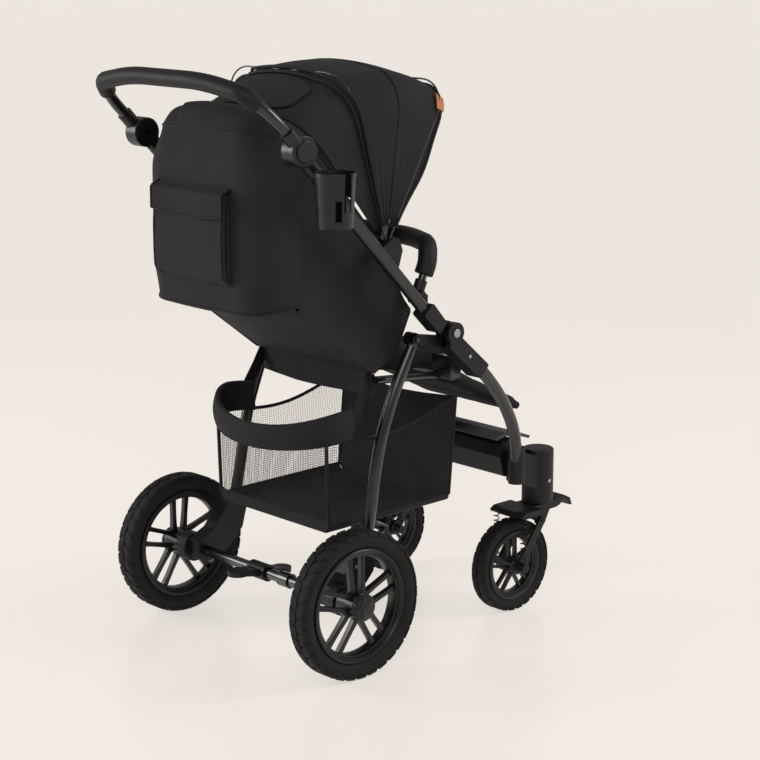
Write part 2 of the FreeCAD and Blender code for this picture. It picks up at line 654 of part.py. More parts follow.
def caster_link(side):
    """The two trailing arms that carry the wheel's axle, with their pivot pin."""
    x = side * CASTER_X
    axle = (FRONT_AXLE_Y, FRONT_WHEEL_RADIUS)
    pieces = [along_x(x - 47, x + 47, axle, 6), along_x(x - 33, x + 33, SUSPENSION_PIVOT, 4)]
    for lean in (-1, 1):
        inner, outer = x + lean * 25.4, x + lean * 31
        pieces.append(along_x(inner, outer, axle, 12))
        pieces.append(along_x(inner, outer, SUSPENSION_PIVOT, 9))
        pieces.append(slab([polar(axle, 11, 35), polar(SUSPENSION_PIVOT, 8, 35),
                            polar(SUSPENSION_PIVOT, 8, 215), polar(axle, 11, 215)], inner, outer))
        pieces.append(along_x(x + lean * 31, x + lean * 47, axle, 9))
    return fuse(pieces)


def caster_springs(side):
    def one(lean):
        centre = V(side * CASTER_X + lean * PRONG_X, SPRING_Y, 0)
        return cylinder(centre + V(0, 0, SPRING_LOW), centre + V(0, 0, SPRING_HIGH), 7)
    return Part.makeCompound([one(-1), one(1)])


def swivel_lever(side):
    """The hooked tab at the front of the yoke that locks the swivel."""
    x = side * CASTER_X
    tab = slab([polar(LEVER_PIVOT, 6, 300), polar(LEVER_PIVOT, 6, 60), (-652, 224), (-672, 214), (-678, 198),
                (-672, 198), (-665, 209), (-652, 215)], x - 15, x + 15)
    barrel = along_x(x - 15, x + 15, LEVER_PIVOT, 5.4)
    return fuse([tab, barrel]).cut(along_x(x - 20, x + 20, LEVER_PIVOT, 2.7))


def front_caster(side):
    name = "right" if side < 0 else "left"
    centre = V(side * CASTER_X, FRONT_AXLE_Y, FRONT_WHEEL_RADIUS)
    depth = 25.0
    save("caster_yoke_" + name, caster_yoke(side))
    save("caster_link_" + name, caster_link(side))
    save("caster_springs_" + name, caster_springs(side))
    save("swivel_lever_" + name, swivel_lever(side))
    save("front_tyre_" + name, tyre(centre, FRONT_WHEEL_RADIUS, FRONT_TYRE_WIDTH, depth))
    wheel = rim(centre, FRONT_WHEEL_RADIUS - depth, FRONT_TYRE_WIDTH, 17, 44, 6.1, side)
    save("front_rim_" + name, wheel)


# ---- write every sub-part -------------------------------------------------------------------
os.makedirs("parts", exist_ok=True)

save("front_legs", both_sides(front_leg))
save("fold_housings", both_sides(fold_housing))
save("fold_pins", both_sides(fold_pin))
save("swivel_housings", both_sides(swivel_housing))
save("footrest_beam", footrest_beam())
save("footrest_tread", footrest_tread())
save("seat_frame", seat_frame())
save("seat_pad", seat_pad())
save("harness", harness())
save("basket", basket())
save("basket_rim", basket_rim())

save("push_tubes", both_sides(push_tube))
save("fold_knuckles", both_sides(knuckle))
save("handle_hubs", both_sides(handle_hub))
save("cup_holder", cup_holder())
save("cup_clamp", cup_clamp())
save("canopy_clips", both_sides(canopy_clip))
save("canopy_rear", canopy_shell(REAR_SECTIONS, REAR_HALF, CANOPY_LOW))
save("back_box", back_box())
save("back_pocket", back_pocket())
save("side_panels", both_sides(side_panel))

mid_hoop = hoop(75.5, 334, 194, 1.7)
save("canopy_mid_carriers", canopy_carrier(196.3, 197.6, 86, 245))
save("canopy_mid_hoop", mid_hoop)
save("canopy_mid", canopy_shell(MID_SECTIONS, MID_HALF, CANOPY_LOW).cut(mid_hoop))
front_hoop = hoop(118.5, 341.5, 200, 1.7)
save("canopy_front_carriers", canopy_carrier(182, 185, 104, 225))
save("canopy_front_hoop", front_hoop)
save("canopy_front", canopy_shell(FRONT_SECTIONS, FRONT_HALF, CANOPY_LOW).cut(front_hoop))

save("bumper_sockets", both_sides(bumper_socket))
save("bumper_bar", bumper_bar())
save("bumper_pad", bumper_pad())
save("back_plate", back_plate())
save("back_pad", back_pad())
save("legrest", legrest())
save("handle_bar", handle_bar())
save("handle_foam", handle_foam())
save("hub_covers", both_sides(hub_cover))
save("hub_button_right", hub_button(-1))
save("hub_button_left", hub_button(1))

save("rear_legs", both_sides(rear_leg))
save("foot_brackets", both_sides(foot_bracket))
save("rear_axle", rear_axle())
save("brake_pedal", brake_pedal())
save("brake_pin_right", brake_pin(-1))
save("brake_pin_left", brake_pin(1))
for side in SIDES:
    rear_wheel(side)
    front_caster(side)
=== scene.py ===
# %% [markdown]
# # A baby stroller around its frame
# Everything soft, and everything with fine detail, is modelled here on top of them. All
# sizes are metres, -Y is the front, +Z is up, and -X is the side with the cup holder.

# %% Load the frame
import json
import math
import bpy
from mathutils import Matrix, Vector, noise


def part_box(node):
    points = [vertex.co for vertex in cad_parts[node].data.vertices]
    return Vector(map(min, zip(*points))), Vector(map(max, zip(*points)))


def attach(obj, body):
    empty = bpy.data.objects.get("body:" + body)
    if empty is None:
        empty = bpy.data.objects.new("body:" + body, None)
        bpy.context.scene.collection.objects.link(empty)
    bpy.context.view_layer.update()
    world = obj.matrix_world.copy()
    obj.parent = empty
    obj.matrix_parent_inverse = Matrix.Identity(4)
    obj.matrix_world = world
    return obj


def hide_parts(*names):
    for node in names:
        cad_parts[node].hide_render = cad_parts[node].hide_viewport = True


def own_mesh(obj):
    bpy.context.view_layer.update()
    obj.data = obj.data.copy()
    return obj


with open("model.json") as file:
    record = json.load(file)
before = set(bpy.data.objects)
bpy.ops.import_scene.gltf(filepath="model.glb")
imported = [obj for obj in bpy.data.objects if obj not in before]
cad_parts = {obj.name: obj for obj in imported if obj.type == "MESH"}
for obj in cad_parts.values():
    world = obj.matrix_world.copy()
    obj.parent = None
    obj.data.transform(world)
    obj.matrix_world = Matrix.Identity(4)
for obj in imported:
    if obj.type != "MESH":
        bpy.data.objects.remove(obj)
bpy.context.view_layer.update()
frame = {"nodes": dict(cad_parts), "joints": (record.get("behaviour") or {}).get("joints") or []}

# %% [markdown]
# The operators act on whatever is selected, so each step starts by choosing one object.
# A finished piece keeps its place in its mesh, rides on one moving body, and takes a finish.

# %% Small helpers for choosing and finishing
SIDES = (-1, 1)
SIDE_WORDS = ((-1, "right"), (1, "left"))


def nothing_selected():
    if bpy.context.object and bpy.context.object.mode != "OBJECT":
        bpy.ops.object.mode_set(mode="OBJECT")
    bpy.ops.object.select_all(action="DESELECT")


def choose(*objects):
    nothing_selected()
    for obj in objects:
        obj.select_set(True)
    bpy.context.view_layer.objects.active = objects[0]


def apply_modifier(obj, kind, **settings):
    """Adds a modifier, sets it and applies it."""
    choose(obj)
    modifier = obj.modifiers.new(kind.title(), kind)
    for key, value in settings.items():
        setattr(modifier, key, value)
    bpy.ops.object.modifier_apply(modifier=modifier.name)


def smooth(obj, degrees=35):
    choose(obj)
    bpy.ops.object.shade_smooth_by_angle(angle=math.radians(degrees))


def settle(obj):
    """Puts the object's place, turn and size into its mesh."""
    choose(obj)
    bpy.ops.object.transform_apply(location=True, rotation=True, scale=True)


def edit(obj, wanted=lambda face: True):
    """Opens a mesh in edit mode with only the wanted faces selected."""
    choose(obj)
    bpy.ops.object.mode_set(mode="EDIT")
    bpy.ops.mesh.select_mode(type="FACE")
    bpy.ops.mesh.select_all(action="DESELECT")
    bpy.ops.object.mode_set(mode="OBJECT")
    for face in obj.data.polygons:
        face.select = bool(wanted(face))
    bpy.ops.object.mode_set(mode="EDIT")


def object_mode():
    bpy.ops.object.mode_set(mode="OBJECT")


def outward(obj):
    """Merges doubles and turns every face outwards."""
    edit(obj)
    bpy.ops.mesh.remove_doubles(threshold=0.00005)
    bpy.ops.mesh.normals_make_consistent(inside=False)
    object_mode()


def finished(obj, name, body, material):
    obj.name = name
    obj.data.name = name
    obj.data.materials.clear()
    obj.data.materials.append(material)
    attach(obj, body)
    return obj


def copied(obj):
    twin = obj.copy()
    twin.data = obj.data.copy()
    bpy.context.collection.objects.link(twin)
    return twin


def joined(objects):
    choose(*objects)
    bpy.ops.object.join()
    return bpy.context.object


def polar(place, distance, degrees):
    """The (y, z) at a distance from place, measured from +Y towards +Z."""
    angle = math.radians(degrees)
    return place[0] + distance * math.cos(angle), place[1] + distance * math.sin(angle)


def mix(a, b, t):
    return a + (b - a) * t


def ease(t):
    t = min(1.0, max(0.0, t))
    return t * t * (3 - 2 * t)


def along(points, y):
    """The value at y on a line through (y, value) points."""
    for (y0, z0), (y1, z1) in zip(points, points[1:]):
        if y <= y1:
            return mix(z0, z1, max(0.0, (y - y0) / (y1 - y0)))
    return points[-1][1]


# %% [markdown]
# Colours are written as they look on a screen and turned to linear light by one function.
# A second function adds a shader node, sets it and links it, and every finish is made with the two.

# %% Colour and node helpers
def linear(hex_colour):
    parts = [int(hex_colour[i:i + 2], 16) / 255 for i in (1, 3, 5)]
    return tuple(c / 12.92 if c <= 0.04045 else ((c + 0.055) / 1.055) ** 2.4 for c in parts) + (1.0,)


def node(tree, kind, inputs=(), **settings):
    """Adds a node; inputs are (socket, value or another node's output) pairs."""
    made = tree.nodes.new(kind)
    for key, value in settings.items():
        setattr(made, key, value)
    for socket, value in inputs:
        if isinstance(value, bpy.types.NodeSocket):
            tree.links.new(value, made.inputs[socket])
        else:
            made.inputs[socket].default_value = value
    return made


def blank(name):
    material = bpy.data.materials.new(name)
    material.use_nodes = True
    tree = material.node_tree
    shader = tree.nodes["Principled BSDF"]
    place = node(tree, "ShaderNodeTexCoord")
    return material, tree, shader, place


def grained(name, dark, light, rough, grain_mm, bump_mm, **shader_values):
    """A moulded or coated surface: a fine grain in the bump, slow changes in colour and gloss."""
    material, tree, shader, place = blank(name)
    coords = place.outputs["Object"]
    slow = node(tree, "ShaderNodeTexNoise", [("Vector", coords), ("Scale", 14.0), ("Detail", 4.0)])
    fine = node(tree, "ShaderNodeTexNoise",
                [("Vector", coords), ("Scale", 1000.0 / grain_mm), ("Detail", 2.0)])
    ramp = node(tree, "ShaderNodeValToRGB", [("Fac", slow.outputs["Fac"])])
    ramp.color_ramp.elements[0].position, ramp.color_ramp.elements[1].position = 0.35, 0.68
    ramp.color_ramp.elements[0].color, ramp.color_ramp.elements[1].color = linear(dark), linear(light)
    gloss = node(tree, "ShaderNodeMapRange", [("Value", slow.outputs["Fac"]), ("From Min", 0.3),
                                              ("From Max", 0.7), ("To Min", rough - 0.05),
                                              ("To Max", rough + 0.06)])
    bump = node(tree, "ShaderNodeBump", [("Height", fine.outputs["Fac"]), ("Strength", 0.6),
                                         ("Distance", bump_mm / 1000)])
    tree.links.new(ramp.outputs["Color"], shader.inputs["Base Color"])
    tree.links.new(gloss.outputs["Result"], shader.inputs["Roughness"])
    tree.links.new(bump.outputs["Normal"], shader.inputs["Normal"])
    for socket, value in shader_values.items():
        shader.inputs[socket.replace("_", " ")].default_value = value
    return material


# %% [markdown]
# The frame tubes are aluminium with a black powder coat. The coat melts and flows as it cures,
# so it is glossy with a faint orange peel about 2 mm across.
# The knuckles, brackets and yokes are glass filled nylon with a spark-eroded grain.
# Hub covers and the cup are ABS, smoother and shinier than the nylon.

# %% Hard finishes
powder_coat = grained("powder_coated_aluminium", "#09090b", "#111113", 0.24, 2.2, 0.05, Coat_Weight=0.35,
                      Coat_Roughness=0.12)
nylon = grained("glass_filled_nylon", "#0c0c0e", "#161618", 0.46, 1.3, 0.09, Specular_IOR_Level=0.3)
abs_plastic = grained("moulded_abs", "#0d0d0f", "#151518", 0.34, 1.6, 0.03, Specular_IOR_Level=0.4)
wheel_plastic = grained("wheel_nylon", "#0a0a0c", "#131315", 0.34, 1.5, 0.05, Specular_IOR_Level=0.35)
tread_plastic = grained("footrest_polypropylene", "#3a3a3d", "#4a4a4c", 0.55, 1.2, 0.08)
rubber = grained("tyre_rubber", "#101011", "#1c1c1d", 0.68, 0.9, 0.12, Specular_IOR_Level=0.22)
foam = grained("eva_foam_skin", "#0e0e0f", "#181819", 0.55, 2.4, 0.35, Specular_IOR_Level=0.25)
spring_steel = grained("blackened_spring_steel", "#0e0e10", "#1c1c1e", 0.30, 1.8, 0.02, Metallic=0.6)
zinc = grained("zinc_plated_steel", "#a3a4a6", "#c4c5c7", 0.28, 1.5, 0.02, Metallic=1.0)
leather = grained("tan_leather", "#9a5427", "#c87a3e", 0.5, 1.8, 0.2)
print("hard finishes made")

# %% [markdown]
# The cloth is a plain woven polyester. Its threads are about half a millimetre apart, too fine
# to show, so the weave is drawn at 1.4 mm. Two sets of threads cross: one wave texture gives the
# warp, one the weft, and their product gives the little squares. The yarn is slightly mottled.

# %% Woven finishes
def woven(name, dark, light, thread_mm, bump_mm, rough=0.82, sheen=0.09, fold_mm=2.6):
    material, tree, shader, place = blank(name)
    coords = place.outputs["UV"]
    turns = 1000.0 * 2 * math.pi / (20 * thread_mm)
    warp = node(tree, "ShaderNodeTexWave", [("Vector", coords), ("Scale", turns)], bands_direction="X",
                wave_profile="SIN")
    weft = node(tree, "ShaderNodeTexWave", [("Vector", coords), ("Scale", turns)], bands_direction="Y",
                wave_profile="SIN")
    squares = node(tree, "ShaderNodeMath", [(0, warp.outputs["Fac"]), (1, weft.outputs["Fac"])],
                   operation="MULTIPLY")
    yarn = node(tree, "ShaderNodeTexNoise", [("Vector", place.outputs["Object"]), ("Scale", 420.0),
                                             ("Detail", 3.0)])
    cloud = node(tree, "ShaderNodeTexNoise", [("Vector", place.outputs["Object"]), ("Scale", 7.0),
                                              ("Detail", 3.0)])
    blend = node(tree, "ShaderNodeMath", [(0, squares.outputs["Value"]), (1, yarn.outputs["Fac"])],
                 operation="ADD")
    both = node(tree, "ShaderNodeMath", [(0, blend.outputs["Value"]), (1, cloud.outputs["Fac"])],
                operation="ADD")
    ramp = node(tree, "ShaderNodeValToRGB",
                [("Fac", node(tree, "ShaderNodeMath", [(0, both.outputs["Value"]), (1, 0.42)],
                              operation="MULTIPLY").outputs["Value"])])
    ramp.color_ramp.elements[0].position, ramp.color_ramp.elements[1].position = 0.3, 0.75
    ramp.color_ramp.elements[0].color, ramp.color_ramp.elements[1].color = linear(dark), linear(light)
    weave_bump = node(tree, "ShaderNodeBump", [("Height", squares.outputs["Value"]), ("Strength", 0.5),
                                               ("Distance", bump_mm / 1000)])
    ripple = node(tree, "ShaderNodeTexNoise", [("Vector", place.outputs["Object"]), ("Scale", 16.0),
                                               ("Detail", 2.0), ("Distortion", 0.6)])
    cloth_bump = node(tree, "ShaderNodeBump", [("Height", ripple.outputs["Fac"]), ("Strength", 0.5),
                                               ("Distance", fold_mm / 1000),
                                               ("Normal", weave_bump.outputs["Normal"])])
    tree.links.new(ramp.outputs["Color"], shader.inputs["Base Color"])
    tree.links.new(cloth_bump.outputs["Normal"], shader.inputs["Normal"])
    shader.inputs["Roughness"].default_value = rough
    shader.inputs["Specular IOR Level"].default_value = 0.22
    shader.inputs["Sheen Weight"].default_value = sheen
    shader.inputs["Sheen Roughness"].default_value = 0.5
    shader.inputs["Sheen Tint"].default_value = linear("#6a6a70")
    return material


polyester = woven("polyester_weave", "#131315", "#2b2b2e", 1.4, 0.28)
pad_cloth = woven("padded_polyester", "#131315", "#282829", 1.8, 0.3)
webbing = woven("polyester_webbing", "#101012", "#202022", 2.4, 0.4, rough=0.7, fold_mm=0.3)
piping_cloth = woven("bias_binding", "#0e0e10", "#1c1c1e", 1.6, 0.2, rough=0.6, fold_mm=0.3)
net_yarn = grained("polyester_net_yarn", "#1a1a1c", "#2e2e30", 0.6, 1.0, 0.05)
print("woven finishes made")

# %% [markdown]
# Every part of the frame that stays visible gets the finish of its real material.

# %% Finishes on the frame parts
hard_finish = {
    powder_coat: ["front_legs", "push_tubes", "rear_legs", "rear_axle", "handle_bar", "seat_frame",
                  "bumper_bar", "canopy_mid_hoop", "canopy_front_hoop", "canopy_mid_carriers",
                  "canopy_front_carriers"],
    abs_plastic: ["hub_covers", "handle_hubs", "hub_button_left", "hub_button_right", "cup_holder"],
    zinc: ["fold_pins", "brake_pin_left", "brake_pin_right"],
    spring_steel: ["caster_springs_left", "caster_springs_right"],
    rubber: ["rear_tyre_left", "rear_tyre_right", "front_tyre_left", "front_tyre_right"],
    wheel_plastic: ["rear_rim_left", "rear_rim_right", "front_rim_left", "front_rim_right"],
    tread_plastic: ["footrest_tread"],
    pad_cloth: ["seat_pad", "back_pad", "legrest", "basket_rim"],
    foam: ["bumper_pad", "handle_foam"],
    polyester: ["basket", "canopy_rear", "canopy_mid", "canopy_front", "back_box", "back_pocket",
                "side_panels", "harness"],
}
finish_of = {name: material for material, names in hard_finish.items() for name in names}
for name, entry in frame["nodes"].items():
    part = entry if isinstance(entry, bpy.types.Object) else bpy.data.objects[name]
    part.data.materials.clear()
    part.data.materials.append(finish_of.get(name, nylon))
print(len(frame["nodes"]), "frame parts finished")

# %% [markdown]
# The floor is a plain pale sheet far larger than the view, so no horizon shows.
# Three soft lights and an even pale sky give the shading of a studio: one light above and behind the
# camera's shoulder, one on the other side that draws bright edges along the tubes, one in front.

# %% Camera, floor and lights
CAMERA_PLACE = Vector((-3.081, 2.461, 1.408))
LOOK_YAW, LOOK_PITCH = math.radians(-42.0), math.radians(-12.5)
look = Vector((math.cos(LOOK_YAW) * math.cos(LOOK_PITCH), math.sin(LOOK_YAW) * math.cos(LOOK_PITCH),
               math.sin(LOOK_PITCH)))
nothing_selected()
bpy.ops.object.camera_add(location=CAMERA_PLACE, rotation=look.to_track_quat("-Z", "Y").to_euler())
camera = bpy.context.object
camera.data.lens = 97.84
bpy.context.scene.camera = camera

bpy.ops.mesh.primitive_grid_add(x_subdivisions=2, y_subdivisions=2, size=160)
floor = bpy.context.object
floor.name = "floor"
floor_finish, floor_tree, floor_shader, floor_place = blank("painted_floor")
floor_noise = node(floor_tree, "ShaderNodeTexNoise",
                   [("Vector", floor_place.outputs["Object"]), ("Scale", 0.8)])
floor_gloss = node(floor_tree, "ShaderNodeMapRange", [("Value", floor_noise.outputs["Fac"]),
                                                      ("To Min", 0.28), ("To Max", 0.34)])
floor_tree.links.new(floor_gloss.outputs["Result"], floor_shader.inputs["Roughness"])
floor_shader.inputs["Base Color"].default_value = linear("#8f8b86")
floor_shader.inputs["Emission Color"].default_value = linear("#f0ebe4")
floor_shader.inputs["Emission Strength"].default_value = 0.72
floor.data.materials.append(floor_finish)


def soft_light(place, target, size, power, colour="#ffffff"):
    nothing_selected()
    turn = (Vector(target) - Vector(place)).to_track_quat("-Z", "Y").to_euler()
    bpy.ops.object.light_add(type="AREA", location=place, rotation=turn)
    light = bpy.context.object
    light.data.size = size
    light.data.energy = power
    light.data.color = linear(colour)[:3]


soft_light((-2.6, 2.6, 3.4), (0, -0.1, 0.5), 2.4, 60)
soft_light((2.7, 2.5, 1.6), (0, -0.1, 0.5), 1.6, 70)
soft_light((-2.4, -2.6, 2.6), (0, -0.1, 0.6), 1.6, 60)
world = bpy.data.worlds.new("studio_sky")
bpy.context.scene.world = world
world.use_nodes = True
world.node_tree.nodes["Background"].inputs["Color"].default_value = linear("#fbf6ef")
world.node_tree.nodes["Background"].inputs["Strength"].default_value = 0.40
bpy.context.scene.view_settings.view_transform = "Standard"
print("camera, floor and three lights")

# %% [markdown]
# ## The cloth
# A cloth piece starts as a flat grid, the way cloth starts as a flat cut. A function then gives the
# place of each point of the cut, its UV map holds real metres for the weave, and Solidify gives
# it the thickness of the cloth. The same function can carry seams, flaps and zips lifted off it.

# %% A sheet of cloth from a function
def grid_sheet(place, across, rows):
    """A flat grid with each point moved to place(u, v), and the (u, v) of each point."""
    nothing_selected()
    bpy.ops.mesh.primitive_grid_add(x_subdivisions=across, y_subdivisions=rows, size=1)
    obj = bpy.context.object
    grid = [(v.co.x + 0.5, v.co.y + 0.5) for v in obj.data.vertices]
    for vertex, (u, v) in zip(obj.data.vertices, grid):
        vertex.co = place(u, v)
    return obj, grid


def cloth(name, place, across, rows, thickness, body, inside=None, material=polyester):
    """place(u, v) is a point for u and v from 0 to 1; inside is a point behind the cloth."""
    obj, grid = grid_sheet(place, across, rows)
    mesh = obj.data
    steps = [i / 120 for i in range(121)]
    widths = [sum((place(b, v) - place(a, v)).length for a, b in zip(steps, steps[1:])) for v in steps]
    lengths = [sum((place(u, b) - place(u, a)).length for a, b in zip(steps, steps[1:])) for u in steps]
    width, length = max(widths), max(lengths)
    layer = mesh.uv_layers.active
    for loop in mesh.loops:
        u, v = grid[loop.vertex_index]
        layer.data[loop.index].uv = (u * width, v * length)
    mesh.update()
    if inside is not None:
        centre = Vector(inside)
        score = sum((face.center - centre).dot(face.normal) * face.area for face in mesh.polygons)
        if score < 0:
            edit(obj)
            bpy.ops.mesh.flip_normals()
            object_mode()
    apply_modifier(obj, "SOLIDIFY", thickness=thickness, offset=-1)
    smooth(obj, 50)
    finished(obj, name, body, material)
    print(name, "cut", round(width, 3), "by", round(length, 3), "m")
    return obj


def tube_along(name, points, radius, resolution=3, closed=False):
    """A round closed tube along points: a bevelled curve turned into a mesh."""
    nothing_selected()
    curve = bpy.data.curves.new(name, "CURVE")
    curve.dimensions = "3D"
    curve.bevel_depth = radius
    curve.bevel_resolution = resolution
    curve.use_fill_caps = True
    spline = curve.splines.new("POLY")
    spline.points.add(len(points) - 1)
    for knot, point in zip(spline.points, points):
        knot.co = (*point, 1.0)
    spline.use_cyclic_u = closed
    obj = bpy.data.objects.new(name, curve)
    bpy.context.collection.objects.link(obj)
    choose(obj)
    bpy.ops.object.convert(target="MESH")
    obj = bpy.context.object
    outward(obj)
    return obj


def trim(name, points, radius, body, closed=False):
    """A rolled binding or piping sewn along points."""
    obj = tube_along(name, points, radius, closed=closed)
    smooth(obj, 60)
    return finished(obj, name, body, piping_cloth)


def lifted(place, height, u, v):
    """The point a little above the cloth at (u, v), on the side its normal points to."""
    d = 0.002
    here = place(u, v)
    right = place(min(1, u + d), v) - place(max(0, u - d), v)
    up = place(u, min(1, v + d)) - place(u, max(0, v - d))
    return here + right.cross(up).normalized() * height


# %% [markdown]
# The canopy is cloth stretched over bent hoops that turn about one axis on the push tubes.
# Seen from the side each section is a wedge of a circle, and across it is an arch with round shoulders.
# Between two hoops the cloth pulls in a little, so each section dips in its middle.
# It is three sections: the rear one is sewn to the box, the other two turn with their hoops.

# %% The canopy's arch
joint_place = {joint["name"]: Vector(joint["pos_m"]) for joint in frame["joints"] if "pos_m" in joint}
CANOPY = (joint_place["canopy_mid_turn"].y, joint_place["canopy_mid_turn"].z)
CANOPY_LOW, CANOPY_CORNER = 0.036, 0.085
CROWN = 0.012             # how much higher the middle of an arch is than its shoulders


def arch(s, top, half):
    """(x, distance from the axis) at s from 0 to 1 along the arch."""
    top = top - CROWN
    upright = top - CANOPY_CORNER - CANOPY_LOW
    flat = 2 * (half - CANOPY_CORNER)
    bend = CANOPY_CORNER * math.pi / 2
    walk = s * (2 * upright + 2 * bend + flat)
    if walk <= upright:
        return -half, CANOPY_LOW + walk
    if walk <= upright + bend:
        a = (walk - upright) / CANOPY_CORNER
        return -half + CANOPY_CORNER * (1 - math.cos(a)), top - CANOPY_CORNER * (1 - math.sin(a))
    if walk <= upright + bend + flat:
        x = -half + CANOPY_CORNER + (walk - upright - bend)
        return x, top + CROWN * (1 - (2 * x / flat) ** 2)
    x, r = arch(1 - s, top, half)
    return -x, r


def canopy_point(degrees, s, top, half):
    x, r = arch(s, top, half)
    y, z = polar(CANOPY, r, degrees)
    return Vector((x, y, z))


def canopy_section(name, start, end, tops, halves, dip, body):
    """Cloth between two hoops; tops and halves are (start, end) values."""
    def place(u, v):
        pull = dip * math.sin(math.pi * v)
        wrinkle = 0.0012 * math.sin(9 * math.pi * v) * math.exp(-8 * min(u, 1 - u))
        top = mix(*tops, v) - pull
        half = mix(*halves, v) - 0.4 * pull + wrinkle
        flare = 4.0 * math.exp(-((min(u, 1 - u) - 0.12) / 0.07) ** 2) if end > 118 else 0.0
        return canopy_point(mix(start, end + flare, v), u, top, half)
    obj = cloth(name, place, 96, 28, 0.0012, body,
                inside=(0, CANOPY[0] + 0.05, CANOPY[1] + 0.1))
    return obj, place


REAR_HOOP, MID_HOOP, SEAM, HEM = 51.0, 74.6, 97.0, 120.0
canopy_rear, rear_place = canopy_section("canopy_rear_cloth", REAR_HOOP - 0.6, MID_HOOP + 1.6,
                                         (0.330, 0.331), (0.189, 0.190), 0.003, "push_frame")
canopy_mid, _ = canopy_section("canopy_mid_cloth", MID_HOOP - 1.4, SEAM + 1.0,
                               (0.3350, 0.3400), (0.1935, 0.1975), 0.001, "canopy_mid_section")
canopy_front, _ = canopy_section("canopy_front_cloth", SEAM, HEM,
                                 (0.3412, 0.346), (0.1988, 0.201), 0.001, "canopy_front_section")
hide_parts("canopy_rear")
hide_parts("canopy_mid", "canopy_mid_carriers")
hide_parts("canopy_front")

# %% [markdown]
# Binding covers the edges of the cloth and holds the hoops. Two thick rolls of it lie side by side
# over the middle hoop. It is swept along the arch, a touch above the cloth.

# %% Canopy bindings and the leather tag
STEPS = [i / 72 for i in range(73)]


def canopy_binding(name, degrees, top, half, radius, body, flare=0.0):
    points = []
    for s in STEPS:
        lean = flare * math.exp(-((min(s, 1 - s) - 0.12) / 0.07) ** 2)
        points.append(canopy_point(degrees + lean, s, top, half))
    return trim(name, points, radius, body)


canopy_binding("canopy_rear_binding", REAR_HOOP + 0.4, 0.3312, 0.1900, 0.0026, "push_frame")
canopy_binding("canopy_roll_rear", MID_HOOP - 1.1, 0.3338, 0.1925, 0.0034, "push_frame")
canopy_binding("canopy_roll_mid", MID_HOOP + 0.8, 0.3395, 0.1978, 0.0036, "canopy_mid_section")
canopy_binding("canopy_hem_roll", HEM, 0.3465, 0.2015, 0.0034, "canopy_front_section", flare=4.0)


def tag_place(u, v):
    s = mix(0.262, 0.298, v)
    lean = 4.0 * math.exp(-((s - 0.12) / 0.07) ** 2)
    point = canopy_point(mix(HEM - 3.2, HEM + 0.9, u) + lean, s, 0.3495, 0.2050)
    return point


cloth("canopy_leather_tag", tag_place, 10, 14, 0.0014, "canopy_front_section",
      inside=(0, CANOPY[0], CANOPY[1]), material=leather)


def window_place(u, v):
    round_u = 0.5 + (u - 0.5) * (1 - 0.18 * (2 * abs(v - 0.5)) ** 6)
    round_v = 0.5 + (v - 0.5) * (1 - 0.18 * (2 * abs(u - 0.5)) ** 6)
    return lifted(rear_place, -0.0028, mix(0.36, 0.64, round_u), mix(0.13, 0.80, round_v))


cloth("canopy_window_flap", window_place, 40, 22, 0.0014, "push_frame",
      inside=(0, CANOPY[0], CANOPY[1]))
edge_walk = ([(i / 24, 0) for i in range(24)] + [(1, i / 14) for i in range(14)]
             + [(1 - i / 24, 1) for i in range(24)] + [(0, 1 - i / 14) for i in range(14)])
trim("canopy_window_binding", [window_place(u, v) for u, v in edge_walk], 0.0018, "push_frame", closed=True)
print("canopy made")

# %% [markdown]
# Behind the canopy is the box: a deep cloth bag that leaves room for the child's head when the seat
# lies back. One cut of cloth goes round the back and both sides, and a second one closes the
# top, from the zip seam to the canopy's rear hoop. The plan is a rectangle with round corners.

# %% The box's plan and shell
BOX_HALF, BOX_BACK, BOX_FRONT, BOX_CORNER = 0.186, 0.149, 0.050, 0.078
BOX_HEM, BOX_SHOULDER = 0.700, 1.028


def box_plan(s, inset):
    """(x, y) at s from 0 to 1 round the box, from the -X side to the +X side."""
    half, back, corner = BOX_HALF - inset, BOX_BACK - inset, BOX_CORNER - inset * 0.4
    side = back - corner - BOX_FRONT
    bend = corner * math.pi / 2
    flat = 2 * (half - corner)
    walk = s * (2 * side + 2 * bend + flat)
    if walk <= side:
        return -half, BOX_FRONT + walk
    if walk <= side + bend:
        a = (walk - side) / corner
        return -half + corner * (1 - math.cos(a)), back - corner * (1 - math.sin(a))
    if walk <= side + bend + flat:
        return -half + corner + walk - side - bend, back
    x, y = box_plan(1 - s, inset)
    return -x, y


def box_place(u, v):
    middle = 1 - abs(2 * u - 1)
    hem = mix(0.710, BOX_HEM, ease(middle * 2.2)) - 0.004 * math.sin(math.pi * u)
    z = mix(hem, BOX_SHOULDER + 0.006 * math.sin(math.pi * u), v)
    taper = 0.016 * ease((v - 0.72) / 0.28) ** 1.5 + 0.006 * (1 - ease(v / 0.25))
    x, y = box_plan(u, taper)
    bulge = 0.004 * math.sin(math.pi * v) * ease(middle * 3)
    crease = 0.0016 * noise.noise(Vector((u * 7, v * 3.2, 1.7)))
    return Vector((x, y + bulge + crease, z))


box_shell = cloth("box_shell", box_place, 110, 56, 0.0016, "push_frame",
                  inside=(0, 0.05, 0.9))
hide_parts("back_box")


def crown_place(u, v):
    """From the shoulder of the box, v = 0, over the top to the rear hoop, v = 1."""
    low = box_place(u, 1.0)
    s = mix(0.5 - 0.38, 0.5 + 0.38, u)
    high = canopy_point(REAR_HOOP, s, 0.3298, 0.1888)
    lift = 0.030 * math.sin(math.pi * v) * (1 - abs(2 * u - 1) ** 3)
    return low.lerp(high, v) + Vector((0, lift * 0.55, lift))


